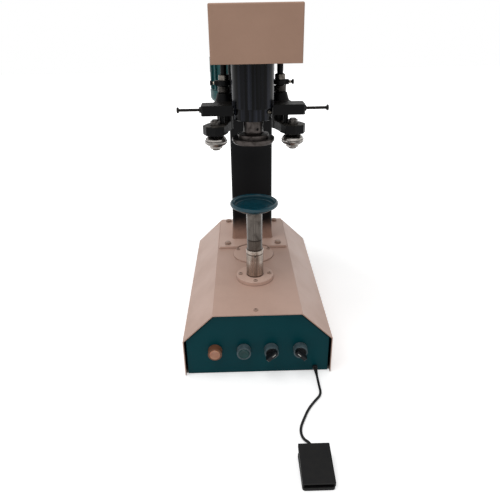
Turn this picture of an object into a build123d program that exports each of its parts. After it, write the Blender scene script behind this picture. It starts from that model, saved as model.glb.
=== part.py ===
from build123d import *
import math
import os

os.makedirs("parts", exist_ok=True)

# Frame: mm, +Z up. The origin lies under the lift and spindle axis, on the surface the base stands on.
# The panel looks towards -Y, the column stands at +Y.

# Base
BASE_W = 300.0
BASE_TOP_W = 176.0
BASE_H = 145.0
SHOULDER_Z = 85.0
BASE_FRONT = -149.0
BASE_REAR = 326.0
SHEET = 2.0
SKIN_GAP = 0.2
FLOOR_GAP = 1.0
PANEL_INSET = 6.0
PANEL_T = 3.0
PANEL_REVEAL = 4.0
PANEL_FACE = BASE_FRONT + PANEL_INSET
TAB_W = 40.0
TAB_T = 2.0
TAB_LEN = 28.0
PLATE_T = 6.0
STAND_W = 160.0
STAND_Y0 = 156.0
STAND_Y1 = 321.0
STAND_TOP_T = 8.0
HOLD_DOWN_R = 4.5
HOLD_DOWN_X = 110.0
HOLD_DOWN_Y0 = -120.0
HOLD_DOWN_Y1 = 120.0

# Column
COLUMN_W = 99.0
COLUMN_Y0 = 192.0
COLUMN_WALL = 5.0
COLUMN_CORNER_R = 6.0
FOOT_W = 170.0
FOOT_Y0 = 146.0
FOOT_Y1 = 323.0
FOOT_T = 6.0
BOLT_X = 63.0
BOLT_Y = (163.0, 308.0)
BOLT_R = 4.0
BOLT_AF = 13.0
BOLT_HEAD_H = 5.3
WASHER_T = 1.6
ACCESS_R = 48.0
ACCESS_Y = 114.0
ACCESS_T = 3.0
ACCESS_HOLE_R = 38.0
NOTCH_GAP = 1.5
FOOT_CORNER_R = 5.0
BOLT_END = 6.0

# Lift
SHAFT_R = 16.5
RUN_GAP = 0.05
SHAFT_Z0 = 30.0
SHAFT_Z1 = 309.0
SLEEVE_WALL = 2.0
SLEEVE_R = SHAFT_R + SLEEVE_WALL
SLEEVE_OUT = 71.0
SLEEVE_TOP = BASE_H + SLEEVE_OUT
SLEEVE_COLLAR_H = 8.0
LIFT_FLANGE_R = 40.0
LIFT_FLANGE_T = 9.0
CYLINDER_R = 28.0
CYLINDER_FLOOR_Z = 16.0
TABLE_R = 50.0
TABLE_DISH_R = 41.0
TABLE_UNDER = SHAFT_Z1 + 0.5
TABLE_FLOOR_T = 4.5
TABLE_FLOOR = TABLE_UNDER + TABLE_FLOOR_T
TABLE_DEPTH = 10.5
TABLE_TOP = TABLE_FLOOR + TABLE_DEPTH
TABLE_PIN_R = 6.0
BEARING_R = 14.0
BEARING_H = 8.0
TABLE_BEARING_DOWN = (10.5, 26.5)
OIL_HOLE_R = 1.8
CYLINDER_FOOT = 68.0
CYLINDER_FOOT_H = 10.0
AIR_PORT_R = 7.0
AIR_BORE_R = 4.0
AIR_PORT_UP = 22.0
AIR_PORT_OUT = 10.0

# Panel controls
CONTROL_Z = 58.5
SWITCH_BLOCK = (30.0, 36.0)
CONTROL_X = (-86.5, -28.5, 27.0, 85.5)
BEZEL_R = 14.0
BEZEL_LEN = 15.0
CAP_R = 11.0
CAP_GAP = 0.3
BUTTON_PROUD = 2.0
BUTTON_STROKE = 4.0
KNOB_BAR = (26.0, 7.0, 13.0)
KNOB_PROUD = 0.5
KNOB_TURN = 45.0

# Head: DECK_Z0 is the underside of the deck, and the rest hangs from it or stands on it.
DECK_Z0 = 597.5
DECK_T = 10.0
DECK_W = 146.0
DECK_Y0 = -74.0
DECK_Y1 = 408.0
BARREL_R = 40.0
BARREL_LEN = 82.5
BARREL_Z0 = DECK_Z0 - BARREL_LEN
NOSE_R = 36.7
NOSE_LEN = 22.5
NOSE_Z0 = BARREL_Z0 - NOSE_LEN
NECK_R = 24.0
NECK_LEN = 38.0
NECK_TOP = DECK_Z0 + NECK_LEN
SPINDLE_R = 12.5
SPINDLE_BEARING_R = 26.0
SPINDLE_BEARING_H = 15.0
SPINDLE_BEARING_UP = (3.5, 62.5)
SPINDLE_BEARING_Z = [BARREL_Z0 + up for up in SPINDLE_BEARING_UP]
SPINDLE_TOP_R = 9.0
LOCK_NUT_AF = 24.0
LOCK_NUT_H = 7.0
SPINDLE_STUB = 42.0
SPINDLE_TOP = NECK_TOP + SPINDLE_STUB
BRIDGE_W = 68.0
BRIDGE_H = 72.0
BRIDGE_Z0 = DECK_Z0 - BRIDGE_H
BRIDGE_WALL = 6.0

# Chuck
CHUCK_DROP = 45.0
CHUCK_Z0 = NOSE_Z0 - CHUCK_DROP
LIP_R = 38.9
LIP_H = 4.5
CHUCK_R = 41.2
CHUCK_H = 5.5
CHUCK_STEP_R = 30.0
CHUCK_STEP_H = 9.0
CHUCK_HUB_R = 19.0
HUB_GAP = 0.5
CHUCK_WEB = 8.0
DRAIN_R = 4.0
SET_SCREW_R = 2.6

# Seaming arms: plan places of the right arm, the left one is its mirror image
PIVOT = (55.0, 50.0)
ROLLER = (75.0, 3.0)
STOP_PIN = (62.0, 12.0)
STOP_PIN_R = 5.0
ARM_SWING = 15.0
ARM_LEAN = 2.5
BRACKET_DROP = 14.5
BRACKET_Z0 = BARREL_Z0 - BRACKET_DROP
BOSS_H = 33.0
BOSS_TOP = BRACKET_Z0 + BOSS_H
ARM_DROP = 36.0
ARM_Z0 = BRACKET_Z0 - ARM_DROP
ARM_T = 17.0
ARM_HUB_R = 16.0
ARM_GAP = 0.3
PIVOT_R = 8.0
PIVOT_TOP_R = 6.0
PIVOT_STEP_UP = 68.0
PIVOT_STEP_Z = BRACKET_Z0 + PIVOT_STEP_UP
PIVOT_OUT = 4.0
PIVOT_Z0 = ARM_Z0 - PIVOT_OUT
ROLLER_R = 22.0
ROLLER_PIN_R = 6.0
PIN_FLANGE = (10.0, 2.0)
PIN_HEAD = (16.0, 6.0)
PIN_FOOT = (7.5, 3.3)
ROLLER_DROP = 10.7
ROLLER_Z0 = CHUCK_Z0 - ROLLER_DROP
BRACKET_T = 19.0
BRACKET_OUT = 98.0
BRACKET_Y = (-14.0, 28.0)
BOSS_R = 18.0
STOP_BOLT_R = 3.0
STOP_BOLT_UP = 8.0
STOP_BOLT_Z = BRACKET_Z0 + STOP_BOLT_UP
STOP_BOLT_END = 143.0
STOP_NUT_AF = 10.0
STOP_NUT_H = 5.0
STOP_HEAD_H = 4.0
STOP_GAP = 0.3
SPRING_COIL_R = PIVOT_R + 3.0
SPRING_H = 15.0
SPRING_TURNS = 4
SPRING_GAP = 0.5
LEVER_Z0 = BOSS_TOP + SPRING_H
LEVER_T = 9.0
LEVER_HUB_R = 13.0
LEVER_W = 12.0
LEVER_LEN = 17.0
LEVER_SCREW_R = 2.5
LEVER_NUT_AF = 8.0
COLLAR_R = 10.2
COLLAR_Z0 = LEVER_Z0 + LEVER_T + 1.0
COLLAR_H = 9.0

# Drive under the hood
MODULE = 1.5
WHEEL_TEETH = 60
PINION_TEETH = 15
GEAR_T = 7.0
GEAR_GAP = 1.0
CAM_GEAR_Z = DECK_Z0 + DECK_T + GEAR_GAP
COUNTER_WHEEL_Z = NECK_TOP + 6.0
COUNTER_R = 6.0
ADDENDUM = 0.95
DEDENDUM = 1.25
WHEEL_HOLE_R = 7.0
WHEEL_HOLE_AT = 27.0
WHEEL_HOLES = 6
COUNTER_TOP = COUNTER_WHEEL_Z + 25.0
CAM_T = 5.0
CAM_UP = (8.0, 20.5)
CAM_Z = [CAM_GEAR_Z + up for up in CAM_UP]
CAM_HUB_R = 30.0
FOLLOWER = (12.0, 44.0)
FOLLOWER_R = 8.0
FOLLOWER_PIN_R = 3.5
CAM_GAP = 0.3
CAM_LIFT = (12.4, 9.0)
CAM_HALF_LOBE = 30.0
CAM_LAG = (135.0, 225.0)
CAM_STEPS = 72
CAM_LEVER_T = 5.0
CAM_LEVER_HALF_W = 7.0
CAM_LEVER_HUB_R = 11.0
CLUTCH_R = 15.5
CLUTCH_H = 14.0
CLUTCH_GAP = 0.5
PULLEY_Z = COUNTER_WHEEL_Z + 10.0
PULLEY_T = 18.0
DRIVEN_R = 38.0
MOTOR_PULLEY_R = 25.0
GROOVE_W = 13.4
GROOVE_DEPTH = 9.5
GROOVE_ANGLE = 17.0
BELT_GAP = 0.35
MOTOR_X = -38.0
MOTOR_Y = 363.0
MOTOR_R = 62.0
MOTOR_LEN = 126.0
MOTOR_Z0 = DECK_Z0 - MOTOR_LEN
MOTOR_SHAFT_R = 7.0
MOTOR_FLANGE_R = 39.0
MOTOR_FLANGE_H = 7.0
MOTOR_BODY_IN = 6.0
MOTOR_SHIELD_IN = 4.0
MOTOR_SHIELD_H = (12.0, 18.0)
MOTOR_FINS = 18
FIN_T = 2.6
FIN_DEPTH = 8.5
FIN_IN = 1.5
COWL_H = 30.0
COWL_R = 14.0
TERMINAL_BOX = (30.0, 32.0, 82.0, 22.0)

# Hood
HOOD_X = 4.0
HOOD_W = 150.0
HOOD_FRONT = -110.0
HOOD_REAR = 412.0
HOOD_Z0 = DECK_Z0 + 2.0
HOOD_H = 89.0
HOOD_Z1 = HOOD_Z0 + HOOD_H
HOOD_SHEET = 1.5
HOOD_EDGE_R = 2.5

# Screws
SCREW_R = 2.5
SCREW_HEAD_R = 4.6
SCREW_HEAD_H = 2.6
SCREW_LEN = 6.0
TOP_SCREW = (-3.0, -132.0)
ACCESS_SCREW_IN = 5.0
ACCESS_SCREW_TURNS = (30, 150, 270)
FLANGE_SCREW_IN = 8.0
HOOD_SCREW_Y = (-40.0, 170.0, 375.0)

# Foot switch
SWITCH_X = 84.0
SWITCH_W = 52.0
SWITCH_Y0 = -420.0
SWITCH_LEN = 68.0
SWITCH_H = 28.0
TREADLE_HINGE = (-411.0, 8.5)
TREADLE_PIN_R = 1.8
TREADLE_LOW = 15.5
EAR_R = 3.2
TREADLE_T = 3.5
TREADLE_WALL = 2.5
SWITCH_FLOOR_T = 6.0
SWITCH_CORNER_R = 5.0
SWITCH_BOX = (12.0, 36.0, 11.0)
CABLE_R = 2.5
CABLE_X = 118.0
CABLE_Z = 9.6
GLAND_R = 5.0
GLAND_OUT = 5.0
GLAND_STEP = 1.5
CABLE_END_Z = 5.0
CABLE_ROUTE = [
    (118.0, -170.0, 9.6), (119.0, -192.0, 4.5), (120.0, -216.0, 2.7), (105.0, -233.0, 2.7), (90.0, -253.0, 2.7),
    (79.0, -276.0, 2.7), (69.0, -299.0, 2.7), (70.0, -321.0, 2.7), (84.0, -335.0, 5.0),
]
MAINS_X = -110.0
MAINS_Z = 40.0
MAINS_GLAND_R = 8.0
MAINS_CORD_R = 4.0
MAINS_NUT_AF = 22.0
MAINS_NUT_H = 6.0
MAINS_NOSE = (9.0, 6.5, 12.0)

MIRROR_X = Plane.YZ


def rod(r, z0, z1, x=0.0, y=0.0):
    return Pos(x, y, (z0 + z1) / 2) * Cylinder(r, z1 - z0)


def ring(r_out, r_in, z0, z1, x=0.0, y=0.0):
    return rod(r_out, z0, z1, x, y) - rod(r_in, z0 - 1, z1 + 1, x, y)


def block(x, y, z):
    centre = Pos((x[0] + x[1]) / 2, (y[0] + y[1]) / 2, (z[0] + z[1]) / 2)
    return centre * Box(x[1] - x[0], y[1] - y[0], z[1] - z[0])


def prism(points, z0, z1):
    return Pos(0, 0, z0) * extrude(make_face(Polyline(*points, close=True)), z1 - z0)


def rod_x(r, x0, x1, y, z):
    return Pos((x0 + x1) / 2, y, z) * Rot(0, 90, 0) * Cylinder(r, x1 - x0)


def rod_y(r, y0, y1, x, z):
    return Pos(x, (y0 + y1) / 2, z) * Rot(90, 0, 0) * Cylinder(r, y1 - y0)


def turned(profile, x=0.0, y=0.0):
    face = make_face(Polyline(*[(r, 0, z) for r, z in profile], close=True))
    return Pos(x, y, 0) * revolve(face, Axis.Z)


def hexagon(across_flats, z0, z1, x=0.0, y=0.0):
    outline = RegularPolygon(across_flats / 2, 6, major_radius=False)
    return Pos(x, y, z0) * extrude(outline, z1 - z0)


def save(shape, name):
    export_step(shape, "parts/" + name + ".step")


def save_group(shapes, name):
    save(Compound(children=list(shapes)), name)


def mirrored(shape):
    return mirror(shape, about=MIRROR_X)


def save_pair(right, name):
    save(right, name + "_right")
    save(mirrored(right), name + "_left")


def turn_about(place, pivot, degrees):
    a = math.radians(degrees)
    dx, dy = place[0] - pivot[0], place[1] - pivot[1]
    x = pivot[0] + dx * math.cos(a) - dy * math.sin(a)
    return x, pivot[1] + dx * math.sin(a) + dy * math.cos(a)


# Base frame, sheet cover and panel

def cover_outline(inset, bottom):
    half = BASE_W / 2 - inset
    slope = math.atan2(BASE_H - SHOULDER_Z, (BASE_W - BASE_TOP_W) / 2)
    shoulder = SHOULDER_Z - inset * math.tan((math.pi / 2 - slope) / 2)
    top = BASE_TOP_W / 2 - inset * math.tan(slope / 2)
    right = [(half, bottom), (half, shoulder), (top, BASE_H - inset)]
    return right + [(-x, z) for x, z in reversed(right)]


def across(points, y0, y1):
    face = make_face(Polyline(*[(x, y1, z) for x, z in points], close=True))
    return extrude(face, y1 - y0, dir=(0, -1, 0))


def hold_down_places():
    return [(sx * HOLD_DOWN_X, y) for sx in (-1, 1) for y in (HOLD_DOWN_Y0, HOLD_DOWN_Y1)]


def column_bolt_places():
    return [(sx * BOLT_X, y) for sx in (-1, 1) for y in BOLT_Y]


def base_frame():
    half = BASE_W / 2 - SHEET - SKIN_GAP
    panel_back = PANEL_FACE + PANEL_T
    frame = block((-half, half), (panel_back, BASE_REAR - SHEET - SKIN_GAP), (0, PLATE_T))
    stand_top = BASE_H - SHEET
    for side in (-1, 1):
        edge = side * STAND_W / 2
        wall = sorted((edge, edge - side * PLATE_T))
        frame += block(wall, (STAND_Y0, STAND_Y1), (PLATE_T, stand_top))
    stand_x = (-STAND_W / 2, STAND_W / 2)
    frame += block(stand_x, (STAND_Y0, STAND_Y1), (stand_top - STAND_TOP_T, stand_top))
    for x, y in column_bolt_places():
        frame -= rod(BOLT_R, stand_top - STAND_TOP_T - 1, stand_top + 1, x, y)
    for x, y in hold_down_places():
        frame -= rod(HOLD_DOWN_R, -1, PLATE_T + 1, x, y)
    save(frame, "base_frame")


def body_cover():
    outer = across(cover_outline(0, FLOOR_GAP), BASE_FRONT, BASE_REAR)
    inner = across(cover_outline(SHEET, FLOOR_GAP - 1), BASE_FRONT - 1, BASE_REAR - SHEET)
    cover = outer - inner
    top = (BASE_H - SHEET - 1, BASE_H + 1)
    cover -= rod(SLEEVE_R + 0.5, *top)
    cover -= rod(ACCESS_HOLE_R, *top, 0, ACCESS_Y)
    for x, y in column_bolt_places():
        cover -= rod(BOLT_R + 0.5, *top, x, y)
    for x, y in top_screw_places() + access_screw_places():
        cover -= rod(SCREW_R, *top, x, y)
    cover -= rod_y(MAINS_GLAND_R, BASE_REAR - SHEET - 1, BASE_REAR + 1, MAINS_X, MAINS_Z)
    save(cover, "body_cover")


def front_panel():
    inset = SHEET + PANEL_REVEAL
    y0, y1 = PANEL_FACE, PANEL_FACE + PANEL_T
    panel = across(cover_outline(inset, FLOOR_GAP), y0, y1)
    tab_x = (-TAB_W / 2, TAB_W / 2)
    tab_z = BASE_H - SHEET
    panel += block(tab_x, (y1 - TAB_T, y0 + TAB_LEN), (tab_z - TAB_T, tab_z))
    panel += block(tab_x, (y1 - TAB_T, y1), (BASE_H - inset - 1, tab_z))
    for x, y in top_screw_places()[:1]:
        panel -= rod(SCREW_R, tab_z - 5, tab_z + 1, x, y)
    for x in CONTROL_X:
        panel -= rod_y(CAP_R, y0 - 1, y1 + 1, x, CONTROL_Z)
    panel -= rod_y(GLAND_R - GLAND_STEP, y0 - 1, y1 + 1, CABLE_X, CABLE_Z)
    save(panel, "front_panel")


def cable_glands():
    face = rod_y(GLAND_R, PANEL_FACE - GLAND_OUT, PANEL_FACE, CABLE_X, CABLE_Z)
    face = chamfer(face.edges().group_by(Axis.Y)[0], 1)
    neck = rod_y(GLAND_R - GLAND_STEP, PANEL_FACE, PANEL_FACE + PANEL_T + 5, CABLE_X, CABLE_Z)
    front = face + neck
    rear = rod_y(MAINS_GLAND_R, BASE_REAR - SHEET - 8, BASE_REAR, MAINS_X, MAINS_Z)
    outward = Pos(MAINS_X, BASE_REAR, MAINS_Z) * Rot(-90, 0, 0)
    nose_r, tip_r, nose_len = MAINS_NOSE
    rear += outward * hexagon(MAINS_NUT_AF, 0, MAINS_NUT_H)
    rear += outward * Pos(0, 0, MAINS_NUT_H + nose_len / 2) * Cone(nose_r, tip_r, nose_len)
    rear -= rod_y(MAINS_CORD_R, BASE_REAR - 20, BASE_REAR + 30, MAINS_X, MAINS_Z)
    save_group([front, rear], "cable_glands")


def access_cover():
    disc = rod(ACCESS_R, BASE_H, BASE_H + ACCESS_T, 0, ACCESS_Y)
    for x, y in access_screw_places():
        disc -= rod(SCREW_R, BASE_H - 1, BASE_H + ACCESS_T + 1, x, y)
    save(disc, "access_cover")


def access_screw_places():
    places = []
    r = ACCESS_R - ACCESS_SCREW_IN
    for a in ACCESS_SCREW_TURNS:
        places.append((r * math.cos(math.radians(a)), ACCESS_Y + r * math.sin(math.radians(a))))
    return places


def flange_screw_places():
    r = LIFT_FLANGE_R - FLANGE_SCREW_IN
    return [(r * math.cos(math.radians(a)), r * math.sin(math.radians(a))) for a in (0, 90, 180, 270)]


def top_screw_places():
    return [TOP_SCREW]


def hood_screw_places():
    z = DECK_Z0 + DECK_T / 2 + 1
    return [(side, y, z) for side in (-1, 1) for y in HOOD_SCREW_Y]


def screw():
    r, h = SCREW_HEAD_R, SCREW_HEAD_H
    profile = [(0, -SCREW_LEN), (SCREW_R, -SCREW_LEN), (SCREW_R, 0), (r, 0), (r * 0.7, h), (0, h)]
    return turned(profile)


def cover_screws():
    screws = [Pos(x, y, BASE_H) * screw() for x, y in top_screw_places()]
    screws += [Pos(x, y, BASE_H + ACCESS_T) * screw() for x, y in access_screw_places()]
    screws += [Pos(x, y, BASE_H + LIFT_FLANGE_T) * screw() for x, y in flange_screw_places()]
    for side, y, z in hood_screw_places():
        screws.append(Pos(HOOD_X + side * HOOD_W / 2, y, z) * Rot(0, side * 90, 0) * screw())
    save_group(screws, "cover_screws")


# Column

def column_base_plate():
    plate = block((-FOOT_W / 2, FOOT_W / 2), (FOOT_Y0, FOOT_Y1), (BASE_H, BASE_H + FOOT_T))
    plate = fillet(plate.edges().filter_by(Axis.Z), FOOT_CORNER_R)
    plate -= rod(ACCESS_R + NOTCH_GAP, BASE_H - 1, BASE_H + FOOT_T + 1, 0, ACCESS_Y)
    for x, y in column_bolt_places():
        plate -= rod(BOLT_R, BASE_H - 1, BASE_H + FOOT_T + 1, x, y)
    save(plate, "column_base_plate")


def column():
    outline = RectangleRounded(COLUMN_W, COLUMN_W, COLUMN_CORNER_R)
    inner = RectangleRounded(COLUMN_W - 2 * COLUMN_WALL, COLUMN_W - 2 * COLUMN_WALL, 2)
    z0 = BASE_H + FOOT_T
    tube = Pos(0, COLUMN_Y0 + COLUMN_W / 2, z0) * extrude(outline - inner, DECK_Z0 - z0)
    save(tube, "column")


def column_bolts():
    top = BASE_H + FOOT_T
    bolts = []
    for x, y in column_bolt_places():
        bolt = rod(BOLT_AF / 2 + 1.5, top, top + WASHER_T, x, y)
        bolt += hexagon(BOLT_AF, top + WASHER_T, top + WASHER_T + BOLT_HEAD_H, x, y)
        bolt += rod(BOLT_R, BASE_H - SHEET - STAND_TOP_T - BOLT_END, top + 1, x, y)
        bolts.append(bolt)
    save_group(bolts, "column_bolts")


# Lift

def lift_flange():
    flange = rod(LIFT_FLANGE_R, BASE_H, BASE_H + LIFT_FLANGE_T)
    flange = chamfer(flange.edges().sort_by(Axis.Z)[-1], 1)
    flange -= rod(SLEEVE_R, BASE_H - 1, BASE_H + LIFT_FLANGE_T + 1)
    for x, y in flange_screw_places():
        flange -= rod(SCREW_R, BASE_H - 1, BASE_H + LIFT_FLANGE_T + 1, x, y)
    save(flange, "lift_flange")


def guide_sleeve():
    bottom = BASE_H - SHEET
    collar = SLEEVE_TOP - SLEEVE_COLLAR_H
    r_in = SHAFT_R + RUN_GAP
    profile = [(r_in, bottom), (SLEEVE_R, bottom), (SLEEVE_R, collar - 1), (SLEEVE_R - 0.8, collar - 1)]
    profile += [(SLEEVE_R - 0.8, collar), (SLEEVE_R + 0.3, collar), (SLEEVE_R + 0.3, SLEEVE_TOP - 1.5)]
    profile += [(SLEEVE_R - 0.7, SLEEVE_TOP), (r_in, SLEEVE_TOP)]
    sleeve = turned(profile)
    sleeve -= rod_y(OIL_HOLE_R, -SLEEVE_R - 2, -SHAFT_R, 0, collar - 4)
    save(sleeve, "guide_sleeve")


def lift_cylinder():
    top = BASE_H - SHEET
    body = rod(CYLINDER_R, PLATE_T, top)
    foot = (-CYLINDER_FOOT / 2, CYLINDER_FOOT / 2)
    port_z = PLATE_T + AIR_PORT_UP
    body += block(foot, foot, (PLATE_T, PLATE_T + CYLINDER_FOOT_H))
    body += rod_y(AIR_PORT_R, CYLINDER_R - 3, CYLINDER_R + AIR_PORT_OUT, 0, port_z)
    body -= rod(SHAFT_R + RUN_GAP, CYLINDER_FLOOR_Z, top + 1)
    body -= rod_y(AIR_BORE_R, SHAFT_R, CYLINDER_R + AIR_PORT_OUT + 1, 0, port_z)
    save(body, "lift_cylinder")


def turntable_bearing_levels():
    return [SHAFT_Z1 - down for down in TABLE_BEARING_DOWN]


def lift_shaft():
    shaft = rod(SHAFT_R, SHAFT_Z0, SHAFT_Z1)
    shaft = chamfer(shaft.edges().group_by(Axis.Z)[0], 1)
    shaft -= rod(BEARING_R, turntable_bearing_levels()[1], SHAFT_Z1 + 1)
    save(shaft, "lift_shaft")


def turntable_bearings():
    rings = [ring(BEARING_R, TABLE_PIN_R + RUN_GAP, z, z + BEARING_H) for z in turntable_bearing_levels()]
    save_group(rings, "turntable_bearings")


def turntable():
    """A dish with a rolled bead for its rim."""
    lip = (TABLE_R - TABLE_DISH_R) / 2
    bead_r, bead_z = TABLE_DISH_R + lip, TABLE_TOP - lip
    profile = [(0, TABLE_UNDER), (TABLE_DISH_R - 4, TABLE_UNDER)]
    for a in range(-90, 181, 27):
        bend = math.radians(a)
        profile.append((bead_r + lip * math.cos(bend), bead_z + lip * math.sin(bend)))
    profile += [(TABLE_DISH_R, TABLE_FLOOR + 1), (TABLE_DISH_R - 1, TABLE_FLOOR), (0, TABLE_FLOOR)]
    dish = turned(profile)
    dish += rod(TABLE_PIN_R, turntable_bearing_levels()[1] + 1, TABLE_UNDER + 1)
    save(dish, "turntable")


# Panel controls

def control_bodies():
    bodies = []
    half, depth = SWITCH_BLOCK[0] / 2, SWITCH_BLOCK[1]
    for i, x in enumerate(CONTROL_X):
        front = PANEL_FACE - BEZEL_LEN
        body = rod_y(BEZEL_R, front, PANEL_FACE, x, CONTROL_Z)
        body += rod_y(CAP_R, PANEL_FACE, PANEL_FACE + PANEL_T, x, CONTROL_Z)
        back = PANEL_FACE + PANEL_T
        body += block((x - half, x + half), (back, back + depth), (CONTROL_Z - half, CONTROL_Z + half))
        body -= rod_y(CAP_R + CAP_GAP, front - 1, PANEL_FACE - 1, x, CONTROL_Z)
        bodies.append(body)
    save_group(bodies, "control_bodies")


def push_cap(x):
    front = PANEL_FACE - BEZEL_LEN - BUTTON_PROUD
    back = PANEL_FACE - 1 - BUTTON_STROKE - CAP_GAP
    cap = rod_y(CAP_R, front, back, x, CONTROL_Z)
    return chamfer(cap.edges().group_by(Axis.Y)[0], 1)


def selector(x, turn):
    front = PANEL_FACE - BEZEL_LEN - KNOB_PROUD
    knob = rod_y(CAP_R, front, PANEL_FACE - 1 - CAP_GAP, x, CONTROL_Z)
    length, width, height = KNOB_BAR
    bar = block((-width / 2, width / 2), (front - height, front), (-length / 2, length / 2))
    bar = chamfer(bar.edges().filter_by(Axis.X).group_by(Axis.Y)[0], 2)
    return knob + Pos(x, 0, CONTROL_Z) * Rot(0, turn, 0) * bar


def controls():
    save(push_cap(CONTROL_X[0]), "power_button")
    save(push_cap(CONTROL_X[1]), "start_button")
    save(selector(CONTROL_X[2], KNOB_TURN), "selector_left")
    save(selector(CONTROL_X[3], -KNOB_TURN), "selector_right")


# Head

def deck_plate():
    top = DECK_Z0 + DECK_T
    deck = block((HOOD_X - DECK_W / 2, HOOD_X + DECK_W / 2), (DECK_Y0, DECK_Y1), (DECK_Z0, top))
    deck = fillet(deck.edges().filter_by(Axis.Z), 6)
    deck -= rod(NECK_R, DECK_Z0 - 1, top + 1)
    for side in (-1, 1):
        deck -= rod(PIVOT_TOP_R + RUN_GAP, DECK_Z0 - 1, top + 1, side * PIVOT[0], PIVOT[1])
    deck -= rod(COUNTER_R + RUN_GAP, DECK_Z0 - 1, top + 1, 0, -counter_distance())
    deck -= rod(MOTOR_SHAFT_R + 8, DECK_Z0 - 1, top + 1, MOTOR_X, MOTOR_Y)
    for side, y, z in hood_screw_places():
        x = sorted((HOOD_X + side * (DECK_W / 2 + 1), HOOD_X + side * (HOOD_W / 2 - SCREW_LEN - 1)))
        deck -= rod_x(SCREW_R, *x, y, z)
    save(deck, "deck_plate")


def head_bridge():
    y = (0, COLUMN_Y0)
    wall = BRIDGE_WALL
    z = (BRIDGE_Z0, DECK_Z0)
    beam = block((-BRIDGE_W / 2, BRIDGE_W / 2), y, z)
    beam -= block((-BRIDGE_W / 2 + wall, BRIDGE_W / 2 - wall), (y[0] - 1, y[1] + 1), (z[0] + wall, z[1] - wall))
    beam -= rod(BARREL_R, z[0] - 1, z[1] + 1)
    save(beam, "head_bridge")


def spindle_barrel():
    barrel = rod(BARREL_R, BARREL_Z0, DECK_Z0) + rod(NECK_R, DECK_Z0 - 1, NECK_TOP)
    barrel -= rod(SPINDLE_R + 2, BARREL_Z0 - 1, NECK_TOP + 1)
    low, high = SPINDLE_BEARING_Z
    barrel -= rod(SPINDLE_BEARING_R, BARREL_Z0 - 1, high + SPINDLE_BEARING_H)
    barrel += ring(SPINDLE_BEARING_R + 2, SPINDLE_R + 4, low + SPINDLE_BEARING_H, high)
    save(barrel, "spindle_barrel")


def nose_cap():
    cap = rod(NOSE_R, NOSE_Z0, BARREL_Z0)
    cap = chamfer(cap.edges().group_by(Axis.Z)[0], 1)
    cap -= rod(SPINDLE_R + 1, NOSE_Z0 - 1, BARREL_Z0 + 1)
    cap += ring(SPINDLE_BEARING_R, SPINDLE_R + 4, BARREL_Z0 - 1, SPINDLE_BEARING_Z[0])
    save(cap, "nose_cap")


def spindle_bearings():
    r_in = SPINDLE_R + RUN_GAP
    rings = [ring(SPINDLE_BEARING_R, r_in, z, z + SPINDLE_BEARING_H) for z in SPINDLE_BEARING_Z]
    save_group(rings, "spindle_bearings")


def chuck():
    z1 = CHUCK_Z0 + LIP_H
    z2 = z1 + CHUCK_H
    z3 = z2 + CHUCK_STEP_H
    z4 = NOSE_Z0 - HUB_GAP
    profile = [(0, CHUCK_Z0), (LIP_R - 0.8, CHUCK_Z0), (LIP_R, CHUCK_Z0 + 1), (LIP_R, z1), (CHUCK_R, z1)]
    profile += [(CHUCK_R, z2 - 1), (CHUCK_R - 1, z2), (CHUCK_STEP_R, z2), (CHUCK_STEP_R, z3 - 2)]
    profile += [(CHUCK_HUB_R + 2, z3), (CHUCK_HUB_R, z3 + 2), (CHUCK_HUB_R, z4), (0, z4)]
    body = turned(profile)
    body -= rod(SPINDLE_R, CHUCK_Z0 + CHUCK_WEB, z4 + 1)
    body -= rod(DRAIN_R, CHUCK_Z0 - 1, CHUCK_Z0 + CHUCK_WEB + 1)
    hole = Rot(0, 0, 24) * rod_y(SET_SCREW_R, -CHUCK_HUB_R - 1, -SPINDLE_R - 1, 0, (z3 + z4) / 2 - 4)
    save(body - hole, "chuck")


def spindle():
    z0 = CHUCK_Z0 + CHUCK_WEB
    pinion_z1 = COUNTER_WHEEL_Z + GEAR_T
    body = rod(SPINDLE_R, z0, COUNTER_WHEEL_Z - 3) + rod(SPINDLE_TOP_R, z0 + 20, SPINDLE_TOP)
    body += gear(PINION_TEETH, COUNTER_WHEEL_Z, GEAR_T, 0, 0, -90 + 180 / PINION_TEETH)
    body += ring(SPINDLE_TOP_R + 2, SPINDLE_TOP_R - 1, pinion_z1, PULLEY_Z)
    nut_z = PULLEY_Z + PULLEY_T
    body += hexagon(LOCK_NUT_AF, nut_z, nut_z + LOCK_NUT_H)
    save(body, "spindle")


def counter_distance():
    return MODULE * (WHEEL_TEETH + PINION_TEETH) / 2


def gear(teeth, z0, thick, x, y, phase):
    pitch_r = MODULE * teeth / 2
    step = 360 / teeth
    root_r = pitch_r - DEDENDUM * MODULE
    tip_r = pitch_r + ADDENDUM * MODULE
    left_flank = [(root_r, -0.33), (pitch_r, -0.225), (tip_r, -0.1)]
    points = []
    for i in range(teeth):
        for r, part in left_flank + [(r, -part) for r, part in reversed(left_flank)]:
            a = math.radians(phase + (i + part) * step)
            points.append((r * math.cos(a), r * math.sin(a)))
    return Pos(x, y, 0) * prism(points, z0, z0 + thick)


def cam_face(base_r, lift, centre):
    points = []
    for i in range(CAM_STEPS):
        a = 360 * i / CAM_STEPS
        off = abs((a - centre + 180) % 360 - 180)
        rise = 0.0
        if off < CAM_HALF_LOBE:
            rise = lift * 0.5 * (1 + math.cos(math.pi * off / CAM_HALF_LOBE))
        r = base_r + rise
        points.append((r * math.cos(math.radians(a)), r * math.sin(math.radians(a))))
    return points


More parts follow.
